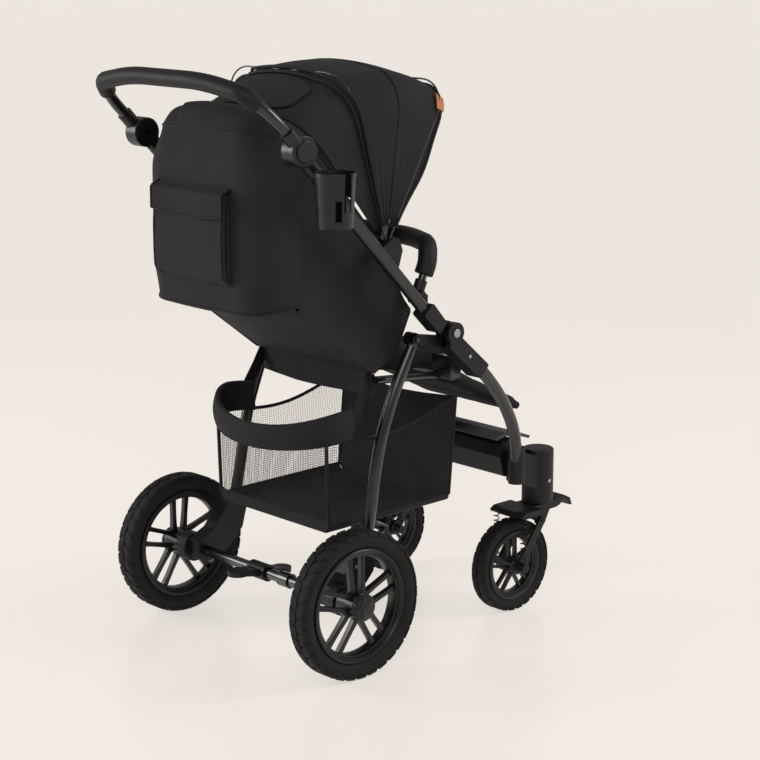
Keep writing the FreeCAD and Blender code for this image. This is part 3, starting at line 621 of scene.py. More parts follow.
cloth("box_crown", crown_place, 90, 24, 0.0014, "push_frame", inside=(0, 0.0, 0.9))
shoulder = [lifted(box_place, 0.0012, i / 80, 0.998) for i in range(81)]
trim("box_shoulder_piping", shoulder, 0.0024, "push_frame")
hem = [lifted(box_place, 0.0004, i / 80, 0.004) for i in range(81)]
trim("box_hem_binding", hem, 0.0030, "push_frame")


def zip_place(u, v):
    s = mix(0.17, 0.83, u)
    arc = 0.925 - 0.035 * (2 * abs(s - 0.5) / 0.66) ** 2
    return lifted(box_place, 0.0018, s, arc + mix(-0.018, 0.018, v))


cloth("box_zip_tape", zip_place, 70, 4, 0.0012, "push_frame", material=webbing,
      inside=(0, 0.05, 0.9))
zip_line = [zip_place(i / 60, 0.5) + Vector((0, 0.0006, 0)) for i in range(61)]
trim("box_zip_coil", zip_line, 0.0013, "push_frame")
print("box made")

# %% [markdown]
# The pocket hangs on the back of the box. Its body is a shallow bag with bellows sides, so the cut
# wraps round three sides, and a flap with a bound edge folds down over its mouth.

# %% Pocket and flap
POCKET_HALF, POCKET_LOW, POCKET_HIGH, POCKET_DEPTH = 0.104, 0.752, 0.922, 0.020


def pocket_place(u, v):
    side = 0.08
    z = mix(POCKET_LOW, POCKET_HIGH, v)
    swell = POCKET_DEPTH * (0.72 + 0.28 * math.sin(math.pi * min(1, 0.15 + 0.85 * v)))
    swell *= ease(v / 0.10) * 0.9 + 0.1
    if u < side or u > 1 - side:
        edge = u / side if u < side else (1 - u) / side
        x = (POCKET_HALF - 0.004 * math.sin(2 * math.pi * edge)) * (-1 if u < 0.5 else 1)
        return Vector((x, BOX_BACK + 0.0035 + swell * edge, z))
    t = (u - side) / (1 - 2 * side)
    sag = 0.0022 * math.sin(math.pi * t) * math.sin(math.pi * v)
    crease = 0.0012 * noise.noise(Vector((t * 5, v * 4, 4.1)))
    return Vector((mix(-POCKET_HALF, POCKET_HALF, t), BOX_BACK + 0.0035 + swell + sag + crease, z))


pocket = cloth("pocket_body", pocket_place, 72, 40, 0.0014, "push_frame",
               inside=(0, 0.1, 0.84))
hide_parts("back_pocket")
seam_line = [pocket_place(0.081, v / 24) for v in range(25)]
for side, word in SIDE_WORDS:
    trim("pocket_seam_" + word, [Vector((side * POCKET_HALF, p.y, p.z)) for p in seam_line], 0.0018,
         "push_frame")


def flap_place(u, v):
    x = mix(-POCKET_HALF - 0.004, POCKET_HALF + 0.004, u)
    drop = 0.052 + 0.006 * math.sin(math.pi * u)
    fold = ease(v / 0.22)
    z = mix(POCKET_HIGH + 0.010, POCKET_HIGH + 0.010 - drop, v)
    return Vector((x, BOX_BACK + 0.0042 + (POCKET_DEPTH + 0.0005) * fold + 0.001 * math.sin(7 * u), z))


cloth("pocket_flap", flap_place, 40, 18, 0.0016, "push_frame",
      inside=(0, 0.1, 0.9))
flap_edge = ([flap_place(0, v / 12) for v in range(13)] + [flap_place(u / 30, 1) for u in range(1, 31)]
             + [flap_place(1, 1 - v / 12) for v in range(1, 13)])
trim("pocket_flap_binding", flap_edge, 0.0020, "push_frame")

# %% [markdown]
# A soft side panel closes each side of the seat, from the seat's edge up to the canopy's rear hoop,
# and one sheet runs under the reclining back from the seat up to the box. Below it a short curtain
# hangs in front of the bar at the back of the seat, and it stays with the seat when the frame folds.

# %% Side panels and the sheet under the back
PANEL_LOW = [(-0.232, 0.668), (-0.196, 0.590), (-0.136, 0.556), (0.052, 0.698)]
PANEL_HIGH = [(-0.232, 0.672), (-0.214, 0.694), (-0.150, 0.812), (0.047, 1.034), (0.052, 1.034)]


def panel_place(side):
    def place(u, v):
        y = mix(-0.232, 0.052, u)
        low, high = along(PANEL_LOW, y), along(PANEL_HIGH, y)
        wave = 0.0022 * noise.noise(Vector((y * 16, v * 5, side * 3.0)))
        tuck = 0.0018 * math.sin(38 * y + 4 * v) * math.sin(math.pi * v)
        z = mix(low, high, v)
        lean = 0.017 * ease((z - 0.93) / 0.10) * ease((y + 0.03) / 0.08)
        x = mix(0.1795, 0.1880, ease(v) * ease(u)) + wave + tuck - lean
        return Vector((side * x, y, z))
    return place


for side, word in SIDE_WORDS:
    panel = cloth("side_panel_" + word, panel_place(side), 60, 44, 0.0014, "push_frame",
                  inside=(0, 0, 0.8))
    if side == -1:
        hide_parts("side_panels")


def under_place(u, v):
    y, z = polar((-0.139, 0.556), mix(0.0, 0.345, v), 37.0)
    round_in = BOX_CORNER - 0.006
    past = min(round_in, max(0.0, y - (BOX_BACK - BOX_CORNER)))
    half = BOX_HALF - 0.009 - round_in + math.sqrt(round_in ** 2 - past ** 2)
    x = mix(-half, half, u)
    belly = 0.016 * math.sin(math.pi * u) ** 0.7 * math.sin(math.pi * min(1, v * 1.05)) ** 0.8
    crease = 0.003 * noise.noise(Vector((u * 4, v * 5, 8.0)))
    return Vector((x, y + (belly + crease) * 0.6, z - (belly + crease) * 0.8))


cloth("back_underside", under_place, 48, 48, 0.0016, "push_frame", inside=(0, -0.2, 0.9))


def skirt_place(u, v):
    """A short curtain below the sheet, in front of the bar at the back of the seat."""
    x = mix(-0.172, 0.172, u)
    wave = 0.003 * math.sin(26 * x) * v + 0.003 * noise.noise(Vector((u * 6, v * 3, 5.5)))
    return Vector((x, -0.134 - 0.010 * v + wave, mix(0.566, 0.510 - 0.005 * math.sin(math.pi * u), v)))


cloth("seat_skirt", skirt_place, 48, 12, 0.0016, "front_frame", inside=(0, -0.3, 0.54))
print("panels made")

# %% [markdown]
# ## The wheels
# The tyres are foam filled rubber. A tyre is a profile spun round the axle. Its tread is cut like a
# real mould: blocks stand up from the crown and the shoulders, and the gaps between them are
# grooves that sweep back towards the edges, so rows of faces are bent first and then raised.

# %% A tyre from a spun profile
REAR_RADIUS, FRONT_RADIUS = 0.145, 0.0975
REAR_WIDTH, FRONT_WIDTH = 0.046, 0.034
BLOCK_HEIGHT = 0.0022     # how far the tread stands up
BLOCK_SWEEP = 2.6         # steps by which a groove runs back at the edge
STEPS_PER_BLOCK = 5       # four of them blocks, one of them groove


def spun(profile, steps):
    """Spins (radius, x) points about the X axis at the origin into a closed ring."""
    nothing_selected()
    bpy.ops.mesh.primitive_circle_add(vertices=len(profile), radius=0.01, fill_type="NOTHING")
    obj = bpy.context.object
    for vertex, (r, x) in zip(obj.data.vertices, profile):
        vertex.co = (x, 0, r)
    choose(obj)
    bpy.ops.object.mode_set(mode="EDIT")
    bpy.ops.mesh.select_all(action="SELECT")
    bpy.ops.mesh.spin(steps=steps, angle=2 * math.pi, center=(0, 0, 0), axis=(1, 0, 0))
    bpy.ops.mesh.select_all(action="SELECT")
    bpy.ops.mesh.remove_doubles(threshold=0.00002)
    bpy.ops.mesh.normals_make_consistent(inside=False)
    bpy.ops.object.mode_set(mode="OBJECT")
    return obj


def tyre(radius, width, depth, pitches):
    half, low = width / 2, radius - depth
    outer = [(low, 0.62), (low + depth * 0.18, 0.80), (low + depth * 0.36, 0.96), (low + depth * 0.55, 1.0),
             (radius - depth * 0.24, 0.985), (radius - depth * 0.19, 0.955), (radius - depth * 0.10, 0.86),
             (radius - depth * 0.045, 0.70), (radius - depth * 0.02, 0.52), (radius - 0.0024, 0.34),
             (radius - 0.0022, 0.14), (radius - 0.0022, 0.06)]
    profile = [(r, -x * half) for r, x in outer] + [(r, x * half) for r, x in reversed(outer)]
    turn = 2 * math.pi / (pitches * STEPS_PER_BLOCK)

    def groove_lean(x):
        """How far round the tyre a groove has run at x; the two sides are half a block apart."""
        half_block = 0.5 * STEPS_PER_BLOCK if x > 0 else 0
        return turn * (BLOCK_SWEEP * min(1.0, abs(x) / half) ** 2 + half_block)

    obj = spun(profile, pitches * STEPS_PER_BLOCK)
    for vertex in obj.data.vertices:
        x, y, z = vertex.co
        if math.hypot(y, z) > radius - depth * 0.30:
            angle = groove_lean(x)
            vertex.co = (x, y * math.cos(angle) - z * math.sin(angle),
                         y * math.sin(angle) + z * math.cos(angle))

    def block(face):
        """Faces of the blocks: four steps in five, away from the centre groove."""
        x = face.center.x
        r = math.hypot(face.center.y, face.center.z)
        if r < radius - depth * 0.225 or abs(x) < half * 0.1:
            return False
        angle = math.atan2(face.center.z, face.center.y) - groove_lean(x)
        step = math.floor(angle / turn + 1000.0 + 1e-6) % STEPS_PER_BLOCK
        between = half * 0.66 < abs(x) < half * 0.74
        return step != 0 and not between
    edit(obj, block)
    bpy.ops.mesh.inset(thickness=0.0003, depth=0.0)
    bpy.ops.mesh.extrude_region_shrink_fatten(TRANSFORM_OT_shrink_fatten={"value": BLOCK_HEIGHT})
    object_mode()
    outward(obj)
    for vertex in obj.data.vertices:
        r = math.hypot(vertex.co.y, vertex.co.z)
        if r > radius:
            vertex.co.y *= radius / r
            vertex.co.z *= radius / r
    smooth(obj, 38)
    return obj


rear_tyre = tyre(REAR_RADIUS, REAR_WIDTH, 0.034, 32)
front_tyre = tyre(FRONT_RADIUS, FRONT_WIDTH, 0.025, 26)
print("tyres", len(rear_tyre.data.polygons), len(front_tyre.data.polygons), "faces")

# %% [markdown]
# The wheel inside each tyre is moulded in one piece: a stepped rim, five pairs of spokes that
# stand close together, and a hub under a cap with five lobes. One function shapes a bar of a pair,
# and two loops lean it to either side and turn it round the hub.

# %% A wheel with five twin spokes
def spoke(hub, reach, width, depth):
    """One bar from the hub to the rim along +Z, thinner at its middle, with soft edges."""
    nothing_selected()
    bpy.ops.mesh.primitive_cube_add(size=1, location=(0, 0, (hub + reach) / 2))
    bar = bpy.context.object
    bar.scale = (depth, width, reach - hub)
    settle(bar)
    edit(bar)
    bpy.ops.mesh.subdivide(number_cuts=5)
    object_mode()
    for vertex in bar.data.vertices:
        t = (vertex.co.z - hub) / (reach - hub)
        waist = 1 - 0.24 * math.sin(math.pi * min(1, max(0, t)))
        vertex.co.y *= waist
        vertex.co.x *= 1 - 0.30 * t + 0.12 * t * t
    apply_modifier(bar, "BEVEL", width=width * 0.16, segments=2, limit_method="ANGLE")
    return bar


def wheel(radius, width, hub, hub_width, side):
    half = width / 2
    steps = [(0.001, 0.70), (0.0005, 0.80), (-0.002, 0.86), (-0.005, 0.84), (-0.0065, 0.74),
             (-0.009, 0.70), (-0.0105, 0.56), (-0.0140, 0.52), (-0.0150, 0.42)]
    profile = [(radius + r, -x * half) for r, x in steps]
    profile += [(radius + r, x * half) for r, x in reversed(steps)]
    pieces = [spun(profile, 96)]
    for turn in range(5):
        for lean in (-1, 1):
            bar = spoke(hub * 0.7, radius - 0.010, radius * 0.105, half * 0.62)
            for vertex in bar.data.vertices:
                t = vertex.co.z / radius
                vertex.co.y += lean * radius * mix(0.10, 0.155, t)
                vertex.co.x += side * half * mix(0.34, 0.06, t)
            bar.rotation_euler.x = math.radians(72 * turn)
            settle(bar)
            pieces.append(bar)
    barrel = [(hub * 0.30, -hub_width / 2), (hub * 0.92, -hub_width / 2), (hub, -hub_width / 2 + 0.002),
              (hub, hub_width / 2 - 0.002), (hub * 0.92, hub_width / 2), (hub * 0.30, hub_width / 2)]
    pieces.append(spun(barrel, 48))
    return joined(pieces)


def star_cap(hub, x, side):
    """The cap on the hub: a disc with a raised star of five round lobes."""
    nothing_selected()
    bpy.ops.mesh.primitive_circle_add(vertices=100, radius=hub * 0.98, fill_type="NGON",
                                      rotation=(0, math.pi / 2, 0))
    cap = bpy.context.object
    settle(cap)
    edit(cap)
    bpy.ops.mesh.extrude_region_move(TRANSFORM_OT_translate={"value": (side * 0.004, 0, 0)})
    bpy.ops.mesh.inset(thickness=hub * 0.12)
    bpy.ops.mesh.extrude_region_move(TRANSFORM_OT_translate={"value": (side * 0.0012, 0, 0)})
    bpy.ops.mesh.inset(thickness=hub * 0.10)
    object_mode()
    for vertex in cap.data.vertices:
        r = math.hypot(vertex.co.y, vertex.co.z)
        if r < hub * 0.78:
            angle = math.atan2(vertex.co.z, vertex.co.y)
            factor = 0.80 + 0.20 * math.cos(5 * angle)
            vertex.co.y *= factor
            vertex.co.z *= factor
    edit(cap, lambda face: abs(face.normal.x) > 0.9 and math.hypot(*face.center.yz) < hub * 0.1
         and abs(face.center.x) > 0.005)
    bpy.ops.mesh.extrude_region_move(TRANSFORM_OT_translate={"value": (side * 0.0014, 0, 0)})
    object_mode()
    outward(cap)
    apply_modifier(cap, "BEVEL", width=0.0005, segments=2, limit_method="ANGLE")
    for vertex in cap.data.vertices:
        vertex.co.x += x
    return cap


def placed(obj, x, y, z):
    obj.location = (x, y, z)
    settle(obj)
    return obj


# rim radius, width, hub radius, hub width, and the cap's distance from the middle of the wheel
REAR_RIM = (0.111, REAR_WIDTH, 0.027, 0.050, 0.026)
FRONT_RIM = (0.0725, FRONT_WIDTH, 0.017, 0.044, 0.022)


def set_wheel(name, side, place, tyre_mesh, sizes, body):
    radius, width, hub, hub_width, cap_x = sizes
    rubber_ring = placed(copied(tyre_mesh), *place)
    if side > 0:
        for vertex in rubber_ring.data.vertices:
            vertex.co.y = 2 * place[1] - vertex.co.y
        edit(rubber_ring)
        bpy.ops.mesh.flip_normals()
        object_mode()
    finished(rubber_ring, name + "_tread", body, rubber)
    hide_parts(name.replace("wheel", "tyre"))
    parts = joined([wheel(radius, width, hub, hub_width, side), star_cap(hub, side * cap_x, side)])
    placed(parts, *place)
    smooth(parts, 32)
    finished(parts, name + "_spokes", body, wheel_plastic)
    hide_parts(name.replace("wheel", "rim"))


for side, word in SIDE_WORDS:
    low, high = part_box("rear_tyre_" + word)
    set_wheel("rear_wheel_" + word, side, tuple((low + high) / 2), rear_tyre, REAR_RIM,
              "rear_wheel_" + word)
    low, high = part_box("front_tyre_" + word)
    set_wheel("front_wheel_" + word, side, tuple((low + high) / 2), front_tyre, FRONT_RIM,
              "front_wheel_" + word)
for start in (rear_tyre, front_tyre):
    bpy.data.objects.remove(start)
print("four wheels set")

# %% [markdown]
# Each front wheel hangs on two coil springs. A coil is a small ring screwed upwards, with its last
# turns closed up as on a ground spring.

# %% Coil springs
def coil(x, y, low, high, radius, wire, turns):
    points = []
    count = turns * 20
    for i in range(count + 1):
        t = i / count
        rise = ease(t) * 0.16 + t * 0.84
        angle = 2 * math.pi * turns * t
        points.append(Vector((x + radius * math.cos(angle), y + radius * math.sin(angle),
                              mix(low, high, rise))))
    return tube_along("coil", points, wire)


for side, word in SIDE_WORDS:
    low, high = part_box("caster_springs_" + word)
    coils = [coil(x, (low.y + high.y) / 2, low.z + 0.0015, high.z - 0.0015, 0.0058, 0.0012, 9)
             for x in (low.x + 0.007, high.x - 0.007)]
    springs = finished(joined(coils), "coil_springs_" + word, "swivel_" + word,
                       spring_steel)
    smooth(springs, 60)
    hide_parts("caster_springs_" + word)
    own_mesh(springs)
print("coil springs made")

# %% [markdown]
# ## The shopping basket
# The basket's floor is a sling of cloth that turns up a little at the sides. Above it both sides
# are open net with a bound, scooped top edge, and the front is one solid panel.

# %% Basket floor, sides and front
BASKET_HALF, BASKET_CORNER, BASKET_TURN_UP = 0.170, 0.012, 0.014
BACK_LOW, BACK_TOP = Vector((0, -0.028, 0.254)), Vector((0, -0.022, 0.440))
FRONT_LOW, FRONT_TOP = Vector((0, -0.348, 0.261)), Vector((0, -0.366, 0.474))


def floor_place(u, v):
    """The floor from one side to the other, with round corners, turned up at both sides."""
    bend = BASKET_CORNER * math.pi / 2
    rise = BASKET_TURN_UP - BASKET_CORNER
    flat = 2 * (BASKET_HALF - BASKET_CORNER)
    middle = math.sin(math.pi * v)
    walk = min(u, 1 - u) * (2 * rise + 2 * bend + flat)
    if walk <= rise:
        x, z = BASKET_HALF, BASKET_TURN_UP - walk
    elif walk <= rise + bend:
        a = (walk - rise) / BASKET_CORNER
        x, z = BASKET_HALF - BASKET_CORNER * (1 - math.cos(a)), BASKET_CORNER * (1 - math.sin(a))
    else:
        x, z = BASKET_HALF - BASKET_CORNER - (walk - rise - bend), 0.0
        z -= 0.007 * middle * (1 - (x / (BASKET_HALF - BASKET_CORNER)) ** 2)
    crease = 0.0022 * noise.noise(Vector((u * 8, v * 6, 2.2))) * middle
    low = BACK_LOW.lerp(FRONT_LOW, v)
    return Vector((math.copysign(x, u - 0.5), low.y, low.z + z + crease))


basket = cloth("basket_sling", floor_place, 90, 44, 0.0018, "front_frame",
               inside=(0, -0.17, 0.40))
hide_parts("basket")


def side_place(side):
    """The net of one side, from the turned up floor, t = 0, to the scooped top, t = 1."""
    def place(u, t):
        low = BACK_LOW.lerp(FRONT_LOW, u)
        top = BACK_TOP.lerp(FRONT_TOP, u)
        start = low.z + BASKET_TURN_UP
        scoop = 0.026 * math.sin(math.pi * u) ** 1.4
        bow = 0.005 * math.sin(math.pi * u) * math.sin(math.pi * t)
        return Vector((side * (BASKET_HALF + bow - 0.001), mix(low.y, top.y, t),
                       mix(start, top.z - scoop, t)))
    return place


def front_place(u, t):
    x = mix(-BASKET_HALF, BASKET_HALF, u)
    point = FRONT_LOW.lerp(FRONT_TOP, t)
    bow = 0.007 * math.sin(math.pi * t) * math.sin(math.pi * u)
    turn_up = 0.012 * max(0.0, 2 * abs(u - 0.5) - 0.92) / 0.08 * max(0.0, 0.14 - t) / 0.14
    crease = 0.0024 * noise.noise(Vector((u * 7, t * 4, 9.4)))
    return Vector((x, point.y - bow + crease, point.z + turn_up - 0.012 * math.sin(math.pi * u) * t ** 3))


cloth("basket_front_panel", front_place, 60, 30, 0.0018, "front_frame",
      inside=(0, -0.17, 0.36))
trim("basket_front_piping", [front_place(i / 40, 1.0) for i in range(41)], 0.0028, "front_frame")

# %% [markdown]
# The back of the basket is net too, above a low solid foot, and cords run up its two corners.
# The net is a grid of yarn: a Wireframe modifier turns the edges of a fine grid into threads.

# %% Basket back and net
WINDOW_HALF, FOOT = 0.167, 0.12


def back_place(x, t):
    scoop = 0.020 * (1 - (x / BASKET_HALF) ** 2) * t ** 3
    bow = 0.006 * math.sin(math.pi * t) * (1 - (x / BASKET_HALF) ** 2)
    edge = 0.012 * max(0.0, abs(x) / BASKET_HALF - 0.92) / 0.08 * max(0.0, 0.12 - t) / 0.12
    point = BACK_LOW.lerp(BACK_TOP, t)
    return Vector((x, point.y + bow, point.z - scoop + edge))


def net(name, place, across, rows):
    obj, _ = grid_sheet(place, across, rows)
    apply_modifier(obj, "WIREFRAME", thickness=0.0009, use_even_offset=False, use_boundary=True)
    return finished(obj, name, "front_frame", net_yarn)


cloth("basket_back_foot", lambda u, v: back_place(mix(-0.168, 0.168, u), v * FOOT), 40, 8, 0.0016,
      "front_frame", inside=(0, -0.17, 0.35))
trim("basket_back_foot_binding", [back_place(mix(-0.166, 0.166, i / 30), FOOT) for i in range(31)],
      0.0022, "front_frame")
net("basket_back_net",
    lambda u, v: back_place(mix(-WINDOW_HALF, WINDOW_HALF, u), mix(FOOT, 1.0, v)), 68, 32)
for side, word in SIDE_WORDS:
    place = side_place(side)
    net("basket_side_net_" + word, place, 68, 34)
    trim("basket_edge_" + word, [place(i / 40, 1.0) for i in range(41)], 0.0034, "front_frame")
    trim("basket_seam_" + word, [place(i / 40, 0.0) for i in range(41)], 0.0022, "front_frame")
    trim("basket_corner_back_" + word, [place(0.0, i / 20) for i in range(21)], 0.0036, "front_frame")
    trim("basket_corner_front_" + word, [place(1.0, i / 20) for i in range(21)], 0.0036, "front_frame")

# %% [markdown]
# ## Pads
# A pad starts a little too small. It is remeshed into even squares and filled like a balloon by a
# few steps of cloth simulation, and no point may go further than the cap. Sewn channels come last,
# as lines pressed into the swollen surface, because the remesh would have rubbed them out.

# %% Pads that swell by cloth simulation
def swell(obj, voxel, cap):
    """Blows the closed mesh up like a cushion, each point by at most cap."""
    apply_modifier(obj, "REMESH", mode="VOXEL", voxel_size=voxel)
    start = [vertex.co.copy() for vertex in obj.data.vertices]
    choose(obj)
    bpy.ops.object.modifier_add(type="CLOTH")
    settings = obj.modifiers[-1].settings
    settings.use_pressure = True
    settings.uniform_pressure_force = 4.0
    settings.effector_weights.gravity = 0.0
    for frame_number in range(1, 21):
        bpy.context.scene.frame_set(frame_number)
    bpy.ops.object.modifier_apply(modifier=obj.modifiers[-1].name)
    bpy.context.scene.frame_set(1)
    for vertex, before in zip(obj.data.vertices, start):
        move = vertex.co - before
        if move.length > cap:
            vertex.co = before + move * (cap / move.length)
    apply_modifier(obj, "SUBSURF", levels=1, render_levels=1)


def pad(name, node_name, outline, half, body, voxel=0.006, cap=0.006, seams=(), shrink=0.004, depth=0.004):
    """outline is (y, z) corners of the pad's side view; seams are (x or None, (y, z) or None) lines."""
    nothing_selected()
    count = len(outline)
    bpy.ops.mesh.primitive_circle_add(vertices=count, radius=0.1, fill_type="NGON")
    obj = bpy.context.object
    middle = Vector((0, sum(p[0] for p in outline) / count, sum(p[1] for p in outline) / count))
    for vertex, (y, z) in zip(obj.data.vertices, outline):
        corner = Vector((0, y, z))
        inwards = (middle - corner).normalized() * shrink
        vertex.co = corner + inwards + Vector((-half + shrink, 0, 0))
    edit(obj)
    bpy.ops.mesh.extrude_region_move(TRANSFORM_OT_translate={"value": (2 * (half - shrink), 0, 0)})
    object_mode()
    outward(obj)
    apply_modifier(obj, "BEVEL", width=0.006, segments=2, limit_method="ANGLE")
    swell(obj, voxel, cap)
    normals = [vertex.normal.copy() for vertex in obj.data.vertices]
    for vertex, normal in zip(obj.data.vertices, normals):
        press = 0.0
        for line_x, place in seams:
            if line_x is not None:
                away = abs(vertex.co.x - line_x)
            else:
                away = abs((Vector((vertex.co.y, vertex.co.z)) - Vector(place)).dot(run))
            press = max(press, math.exp(-(away / 0.0035) ** 2))
        if abs(normal.x) < 0.6:
            vertex.co -= normal * depth * press
    smooth(obj, 60)
    finished(obj, name, body, pad_cloth)
    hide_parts(node_name)
    print(name, len(obj.data.polygons), "faces")
    return obj


run = Vector((1, 0))
SEAT = [(-0.168, 0.554), (-0.362, 0.532), (-0.374, 0.542), (-0.372, 0.570), (-0.350, 0.579),
        (-0.190, 0.585), (-0.168, 0.581)]
pad("seat_cushion", "seat_pad", SEAT, 0.156, "front_frame", depth=0.003,
    seams=[(-0.09, None), (0.09, None), (None, (-0.235, 0.58)), (None, (-0.300, 0.58))])

BACK_TURN = 37.0
recline = (joint_place["recline"].y, joint_place["recline"].z)
run = Vector(polar((0, 0), 1, BACK_TURN))
base = polar(recline, 6.6 / 1000, BACK_TURN + 90)
top_side = polar(base, 0.023, BACK_TURN + 90)
BACK = [polar(base, 0.024, BACK_TURN), polar(base, 0.322, BACK_TURN), polar(top_side, 0.322, BACK_TURN),
        polar(top_side, 0.024, BACK_TURN)]
pad("back_cushion", "back_pad", BACK, 0.147, "seat_back", depth=0.003,
    seams=[(-0.085, None), (0.085, None)] + [(None, polar(base, d, BACK_TURN)) for d in (0.09, 0.16, 0.23)])

LEG_TURN = 206.0
hinge = (joint_place["legrest_tilt"].y, joint_place["legrest_tilt"].z)
run = Vector(polar((0, 0), 1, LEG_TURN))
up = polar((0, 0), 0.0095, LEG_TURN - 90)
near, far = polar(hinge, 0.016, LEG_TURN), polar(hinge, 0.246, LEG_TURN)
LEG = [(near[0] + up[0], near[1] + up[1]), (far[0] + up[0], far[1] + up[1]),
       (far[0] - up[0], far[1] - up[1]), (near[0] - up[0], near[1] - up[1])]
pad("legrest_cushion", "legrest", LEG, 0.149, "leg_rest", depth=0.0025,
    seams=[(-0.132, None), (0.132, None)]
    + [(None, polar(hinge, d, LEG_TURN)) for d in (0.034, 0.13, 0.226)])

# %% [markdown]
# The basket's mouth has a padded band that sags between its ends, more at its top than at its foot.
# It is a curved sheet with a wall of foam's thickness and round edges, and piping along both seams.

# %% Basket rim band
RIM_HALF, RIM_ENDS, RIM_BACK, RIM_MIDDLE = 0.168, -0.100, 0.028, -0.090
RIM_LOW, RIM_HIGH = 0.434, 0.492


def from_rim_middle(point):
    return Vector((point.x, point.y - RIM_MIDDLE, 0)).normalized()


def rim_place(u, v):
    half = math.pi / 2 + 0.55
    angle = mix(-half, half, u)
    x = RIM_HALF * math.sin(angle) / math.sin(min(half, math.pi / 2))
    y = mix(RIM_ENDS, RIM_BACK, (math.cos(angle) - math.cos(half)) / (1 - math.cos(half)))
    sag = mix(0.021, 0.036, v) * max(0.0, math.cos(angle)) ** 1.5
    swell_out = 0.006 * math.sin(math.pi * v)
    point = Vector((x, y, mix(RIM_LOW, RIM_HIGH, v) - sag))
    return point + from_rim_middle(point) * swell_out


band, _ = grid_sheet(rim_place, 72, 10)
apply_modifier(band, "SOLIDIFY", thickness=0.012, offset=-1)
outward(band)
apply_modifier(band, "BEVEL", width=0.004, segments=3, limit_method="ANGLE")
smooth(band, 60)
finished(band, "basket_rim_band", "front_frame", pad_cloth)
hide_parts("basket_rim")
for v, word in ((0.06, "low"), (0.94, "high")):
    line = [rim_place(u / 60, v) for u in range(61)]
    trim("basket_rim_piping_" + word, [p + from_rim_middle(p) * 0.001 for p in line], 0.0016,
         "front_frame")

# %% [markdown]
# The bumper bar and the handle are covered by closed cell foam with a leather grained skin. The foam
# follows the bend of the bar under it, so it is swept along the same line, with rounded ends.

# %% Foam on the bumper and the handle
def rounded(points, share=0.45, steps=12):
    """The line through the points with each corner replaced by an arc, as a tube is bent."""
    line = [points[0]]
    for before, corner, after in zip(points, points[1:], points[2:]):
        arriving, leaving = (corner - before).normalized(), (after - corner).normalized()
        cut = share * min((corner - before).length, (after - corner).length)
        start, end = corner - arriving * cut, corner + leaving * cut
        turn = arriving.angle(leaving)
        bend = cut / math.tan(turn / 2)
        centre = start + (leaving - arriving * arriving.dot(leaving)).normalized() * bend
        for i in range(steps + 1):
            a = turn * i / steps
            out = (start - centre) * math.cos(a) + arriving * bend * math.sin(a)
            line.append(centre + out)
    line.append(points[-1])
    return line


def foam_sleeve(name, points, radius, body, node_name):
    line = rounded(points + [Vector((-p.x, p.y, p.z)) for p in reversed(points)])
    obj = tube_along(name, line, radius, resolution=6)
    apply_modifier(obj, "BEVEL", width=radius * 0.28, segments=3, limit_method="ANGLE",
                   angle_limit=math.radians(60))
    smooth(obj, 60)
    finished(obj, name, body, foam)
    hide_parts(node_name)
    return obj


BUMPER = (joint_place["bumper_tilt"].y, joint_place["bumper_tilt"].z)
BUMPER_LEAN = 115.0       # degrees from +Y towards +Z
bumper_top = polar(BUMPER, 0.096, BUMPER_LEAN)
bumper_line = [Vector((-0.200, *polar(BUMPER, 0.046, BUMPER_LEAN))),
               Vector((-0.200, *polar(BUMPER, 0.070, BUMPER_LEAN))),
               Vector((-0.186, bumper_top[0] - 0.004, bumper_top[1] + 0.010)),
               Vector((-0.110, bumper_top[0] - 0.030, bumper_top[1] + 0.014))]
foam_sleeve("bumper_foam", bumper_line, 0.0188, "bumper", "bumper_pad")
grip_side, grip_corner = Vector((-0.244, 0.165, 1.076)), Vector((-0.214, 0.204, 1.114))
grip_bar = Vector((-0.110, 0.212, 1.131))
foam_sleeve("handle_grip", [grip_side * 0.6 + grip_corner * 0.4, grip_corner, grip_bar], 0.0165, "handle",
            "handle_foam")

# %% [markdown]
# The harness is flat polyester webbing about 25 mm wide, with a moulded buckle between the legs.
# Straps stay flat when they bend, so each is a ribbon laid along a line of points.

# %% Harness
def ribbon(name, points, width, sideways, body):
    """A strap along points; sideways is the direction across it."""
    lengths = [0.0]
    for a, b in zip(points, points[1:]):
        lengths.append(lengths[-1] + (b - a).length)

    def place(u, v):
        want = v * lengths[-1]
        for i in range(len(points) - 1):
            if want <= lengths[i + 1] or i == len(points) - 2:
                t = (want - lengths[i]) / (lengths[i + 1] - lengths[i])
                return points[i].lerp(points[i + 1], t) + Vector(sideways) * width * (u - 0.5)
    return cloth(name, place, 6, 40, 0.0016, body, material=webbing)


def on_back(x, distance, lift):
    return Vector((x, *polar(polar(base, 0.023 + lift, BACK_TURN + 90), distance, BACK_TURN)))


for side, word in SIDE_WORDS:
    ribbon("shoulder_strap_" + word,
           [on_back(side * 0.048, d, 0.010 + 0.010 * math.sin(math.pi * (d - 0.03) / 0.25))
            for d in (0.28, 0.25, 0.21, 0.17, 0.13, 0.09, 0.05, 0.03)], 0.025, (1, 0, 0), "seat_back")
    ribbon("shoulder_pad_" + word,
           [on_back(side * 0.048, d, 0.0135 + 0.010 * math.sin(math.pi * (d - 0.03) / 0.25))
            for d in (0.26, 0.23, 0.19, 0.15, 0.12)], 0.042, (1, 0, 0), "seat_back")
ribbon("crotch_strap", [Vector((0, -0.268, 0.586)), Vector((0, -0.262, 0.606)), Vector((0, -0.254, 0.630)),
                        Vector((0, -0.249, 0.648))], 0.028, (1, 0, 0), "front_frame")
STRAP_WAY = [(0.171, -0.096, 0.462), (0.1695, -0.104, 0.490), (0.166, -0.124, 0.524),
             (0.163, -0.140, 0.556)]
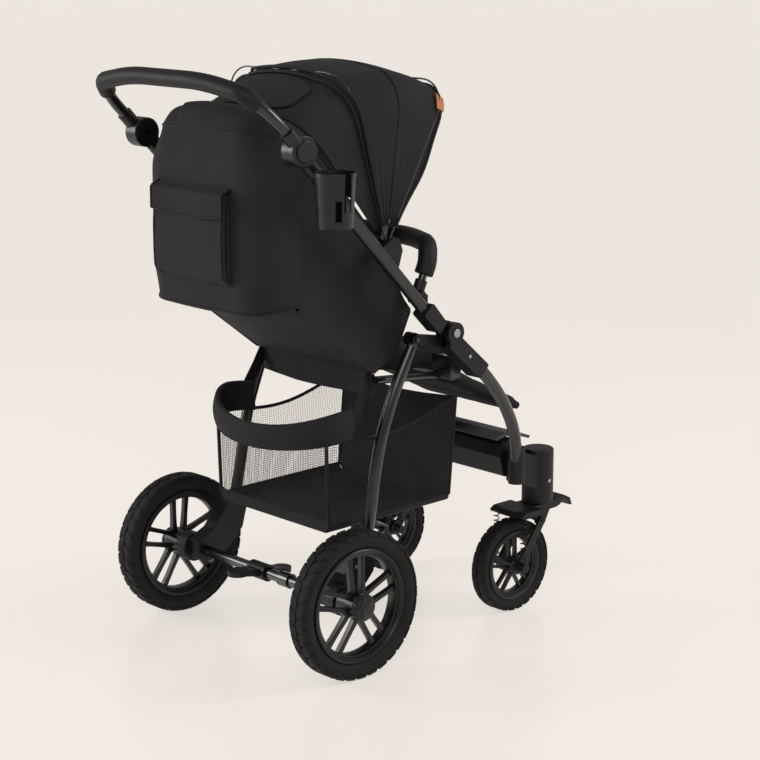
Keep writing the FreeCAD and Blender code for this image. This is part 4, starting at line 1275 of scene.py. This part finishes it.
for side, word in SIDE_WORDS:
    ribbon("basket_strap_" + word, [Vector((side * x, y, z)) for x, y, z in STRAP_WAY], 0.026,
           (0, 0.9, 0.4), "front_frame")
nothing_selected()
bpy.ops.mesh.primitive_cube_add(size=1, location=(0, -0.248, 0.665))
buckle = bpy.context.object
buckle.scale = (0.046, 0.016, 0.048)
settle(buckle)
edit(buckle, lambda face: abs(face.normal.y) > 0.9)
bpy.ops.mesh.inset(thickness=0.009, use_individual=True)
bpy.ops.mesh.extrude_region_shrink_fatten(TRANSFORM_OT_shrink_fatten={"value": 0.0018})
object_mode()
apply_modifier(buckle, "BEVEL", width=0.004, segments=3, limit_method="ANGLE")
smooth(buckle, 40)
finished(buckle, "harness_buckle", "front_frame", abs_plastic)
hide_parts("harness")

# %% [markdown]
# Screws and rivets hold the joints. One pan head with a round recess is modelled and copied about.

# %% Screw heads
nothing_selected()
bpy.ops.mesh.primitive_cylinder_add(vertices=24, radius=0.0042, depth=0.0024)
screw = bpy.context.object
edit(screw, lambda face: face.normal.z > 0.9)
bpy.ops.mesh.inset(thickness=0.0022)
bpy.ops.mesh.extrude_region_move(TRANSFORM_OT_translate={"value": (0, 0, -0.0012)})
object_mode()
apply_modifier(screw, "BEVEL", width=0.0004, segments=2, limit_method="ANGLE")
screw.rotation_euler.y = math.pi / 2
settle(screw)


def screws(name, body, places, scale=1.0):
    heads = []
    for x, y, z in places:
        head = copied(screw)
        head.scale = (1 if x > 0 else -1, scale, scale)
        head.location = (x, y, z)
        settle(head)
        heads.append(head)
    obj = joined(heads) if len(heads) > 1 else heads[0]
    outward(obj)
    smooth(obj, 40)
    finished(obj, name, body, zinc)


screws("foot_screws", "rear_frame", [(s * 0.2224, -0.052, 0.196) for s in SIDES])
screws("housing_screws", "front_frame", [(s * 0.2541, -0.322, 0.577) for s in SIDES]
       + [(s * 0.2235, -0.587, 0.270) for s in SIDES], 0.9)
screws("handle_rivets", "handle", [(s * 0.2578, *polar((0.097, 1.008), 0.043, 46.3)) for s in SIDES], 0.7)
bpy.data.objects.remove(screw)
print("harness and screws made")
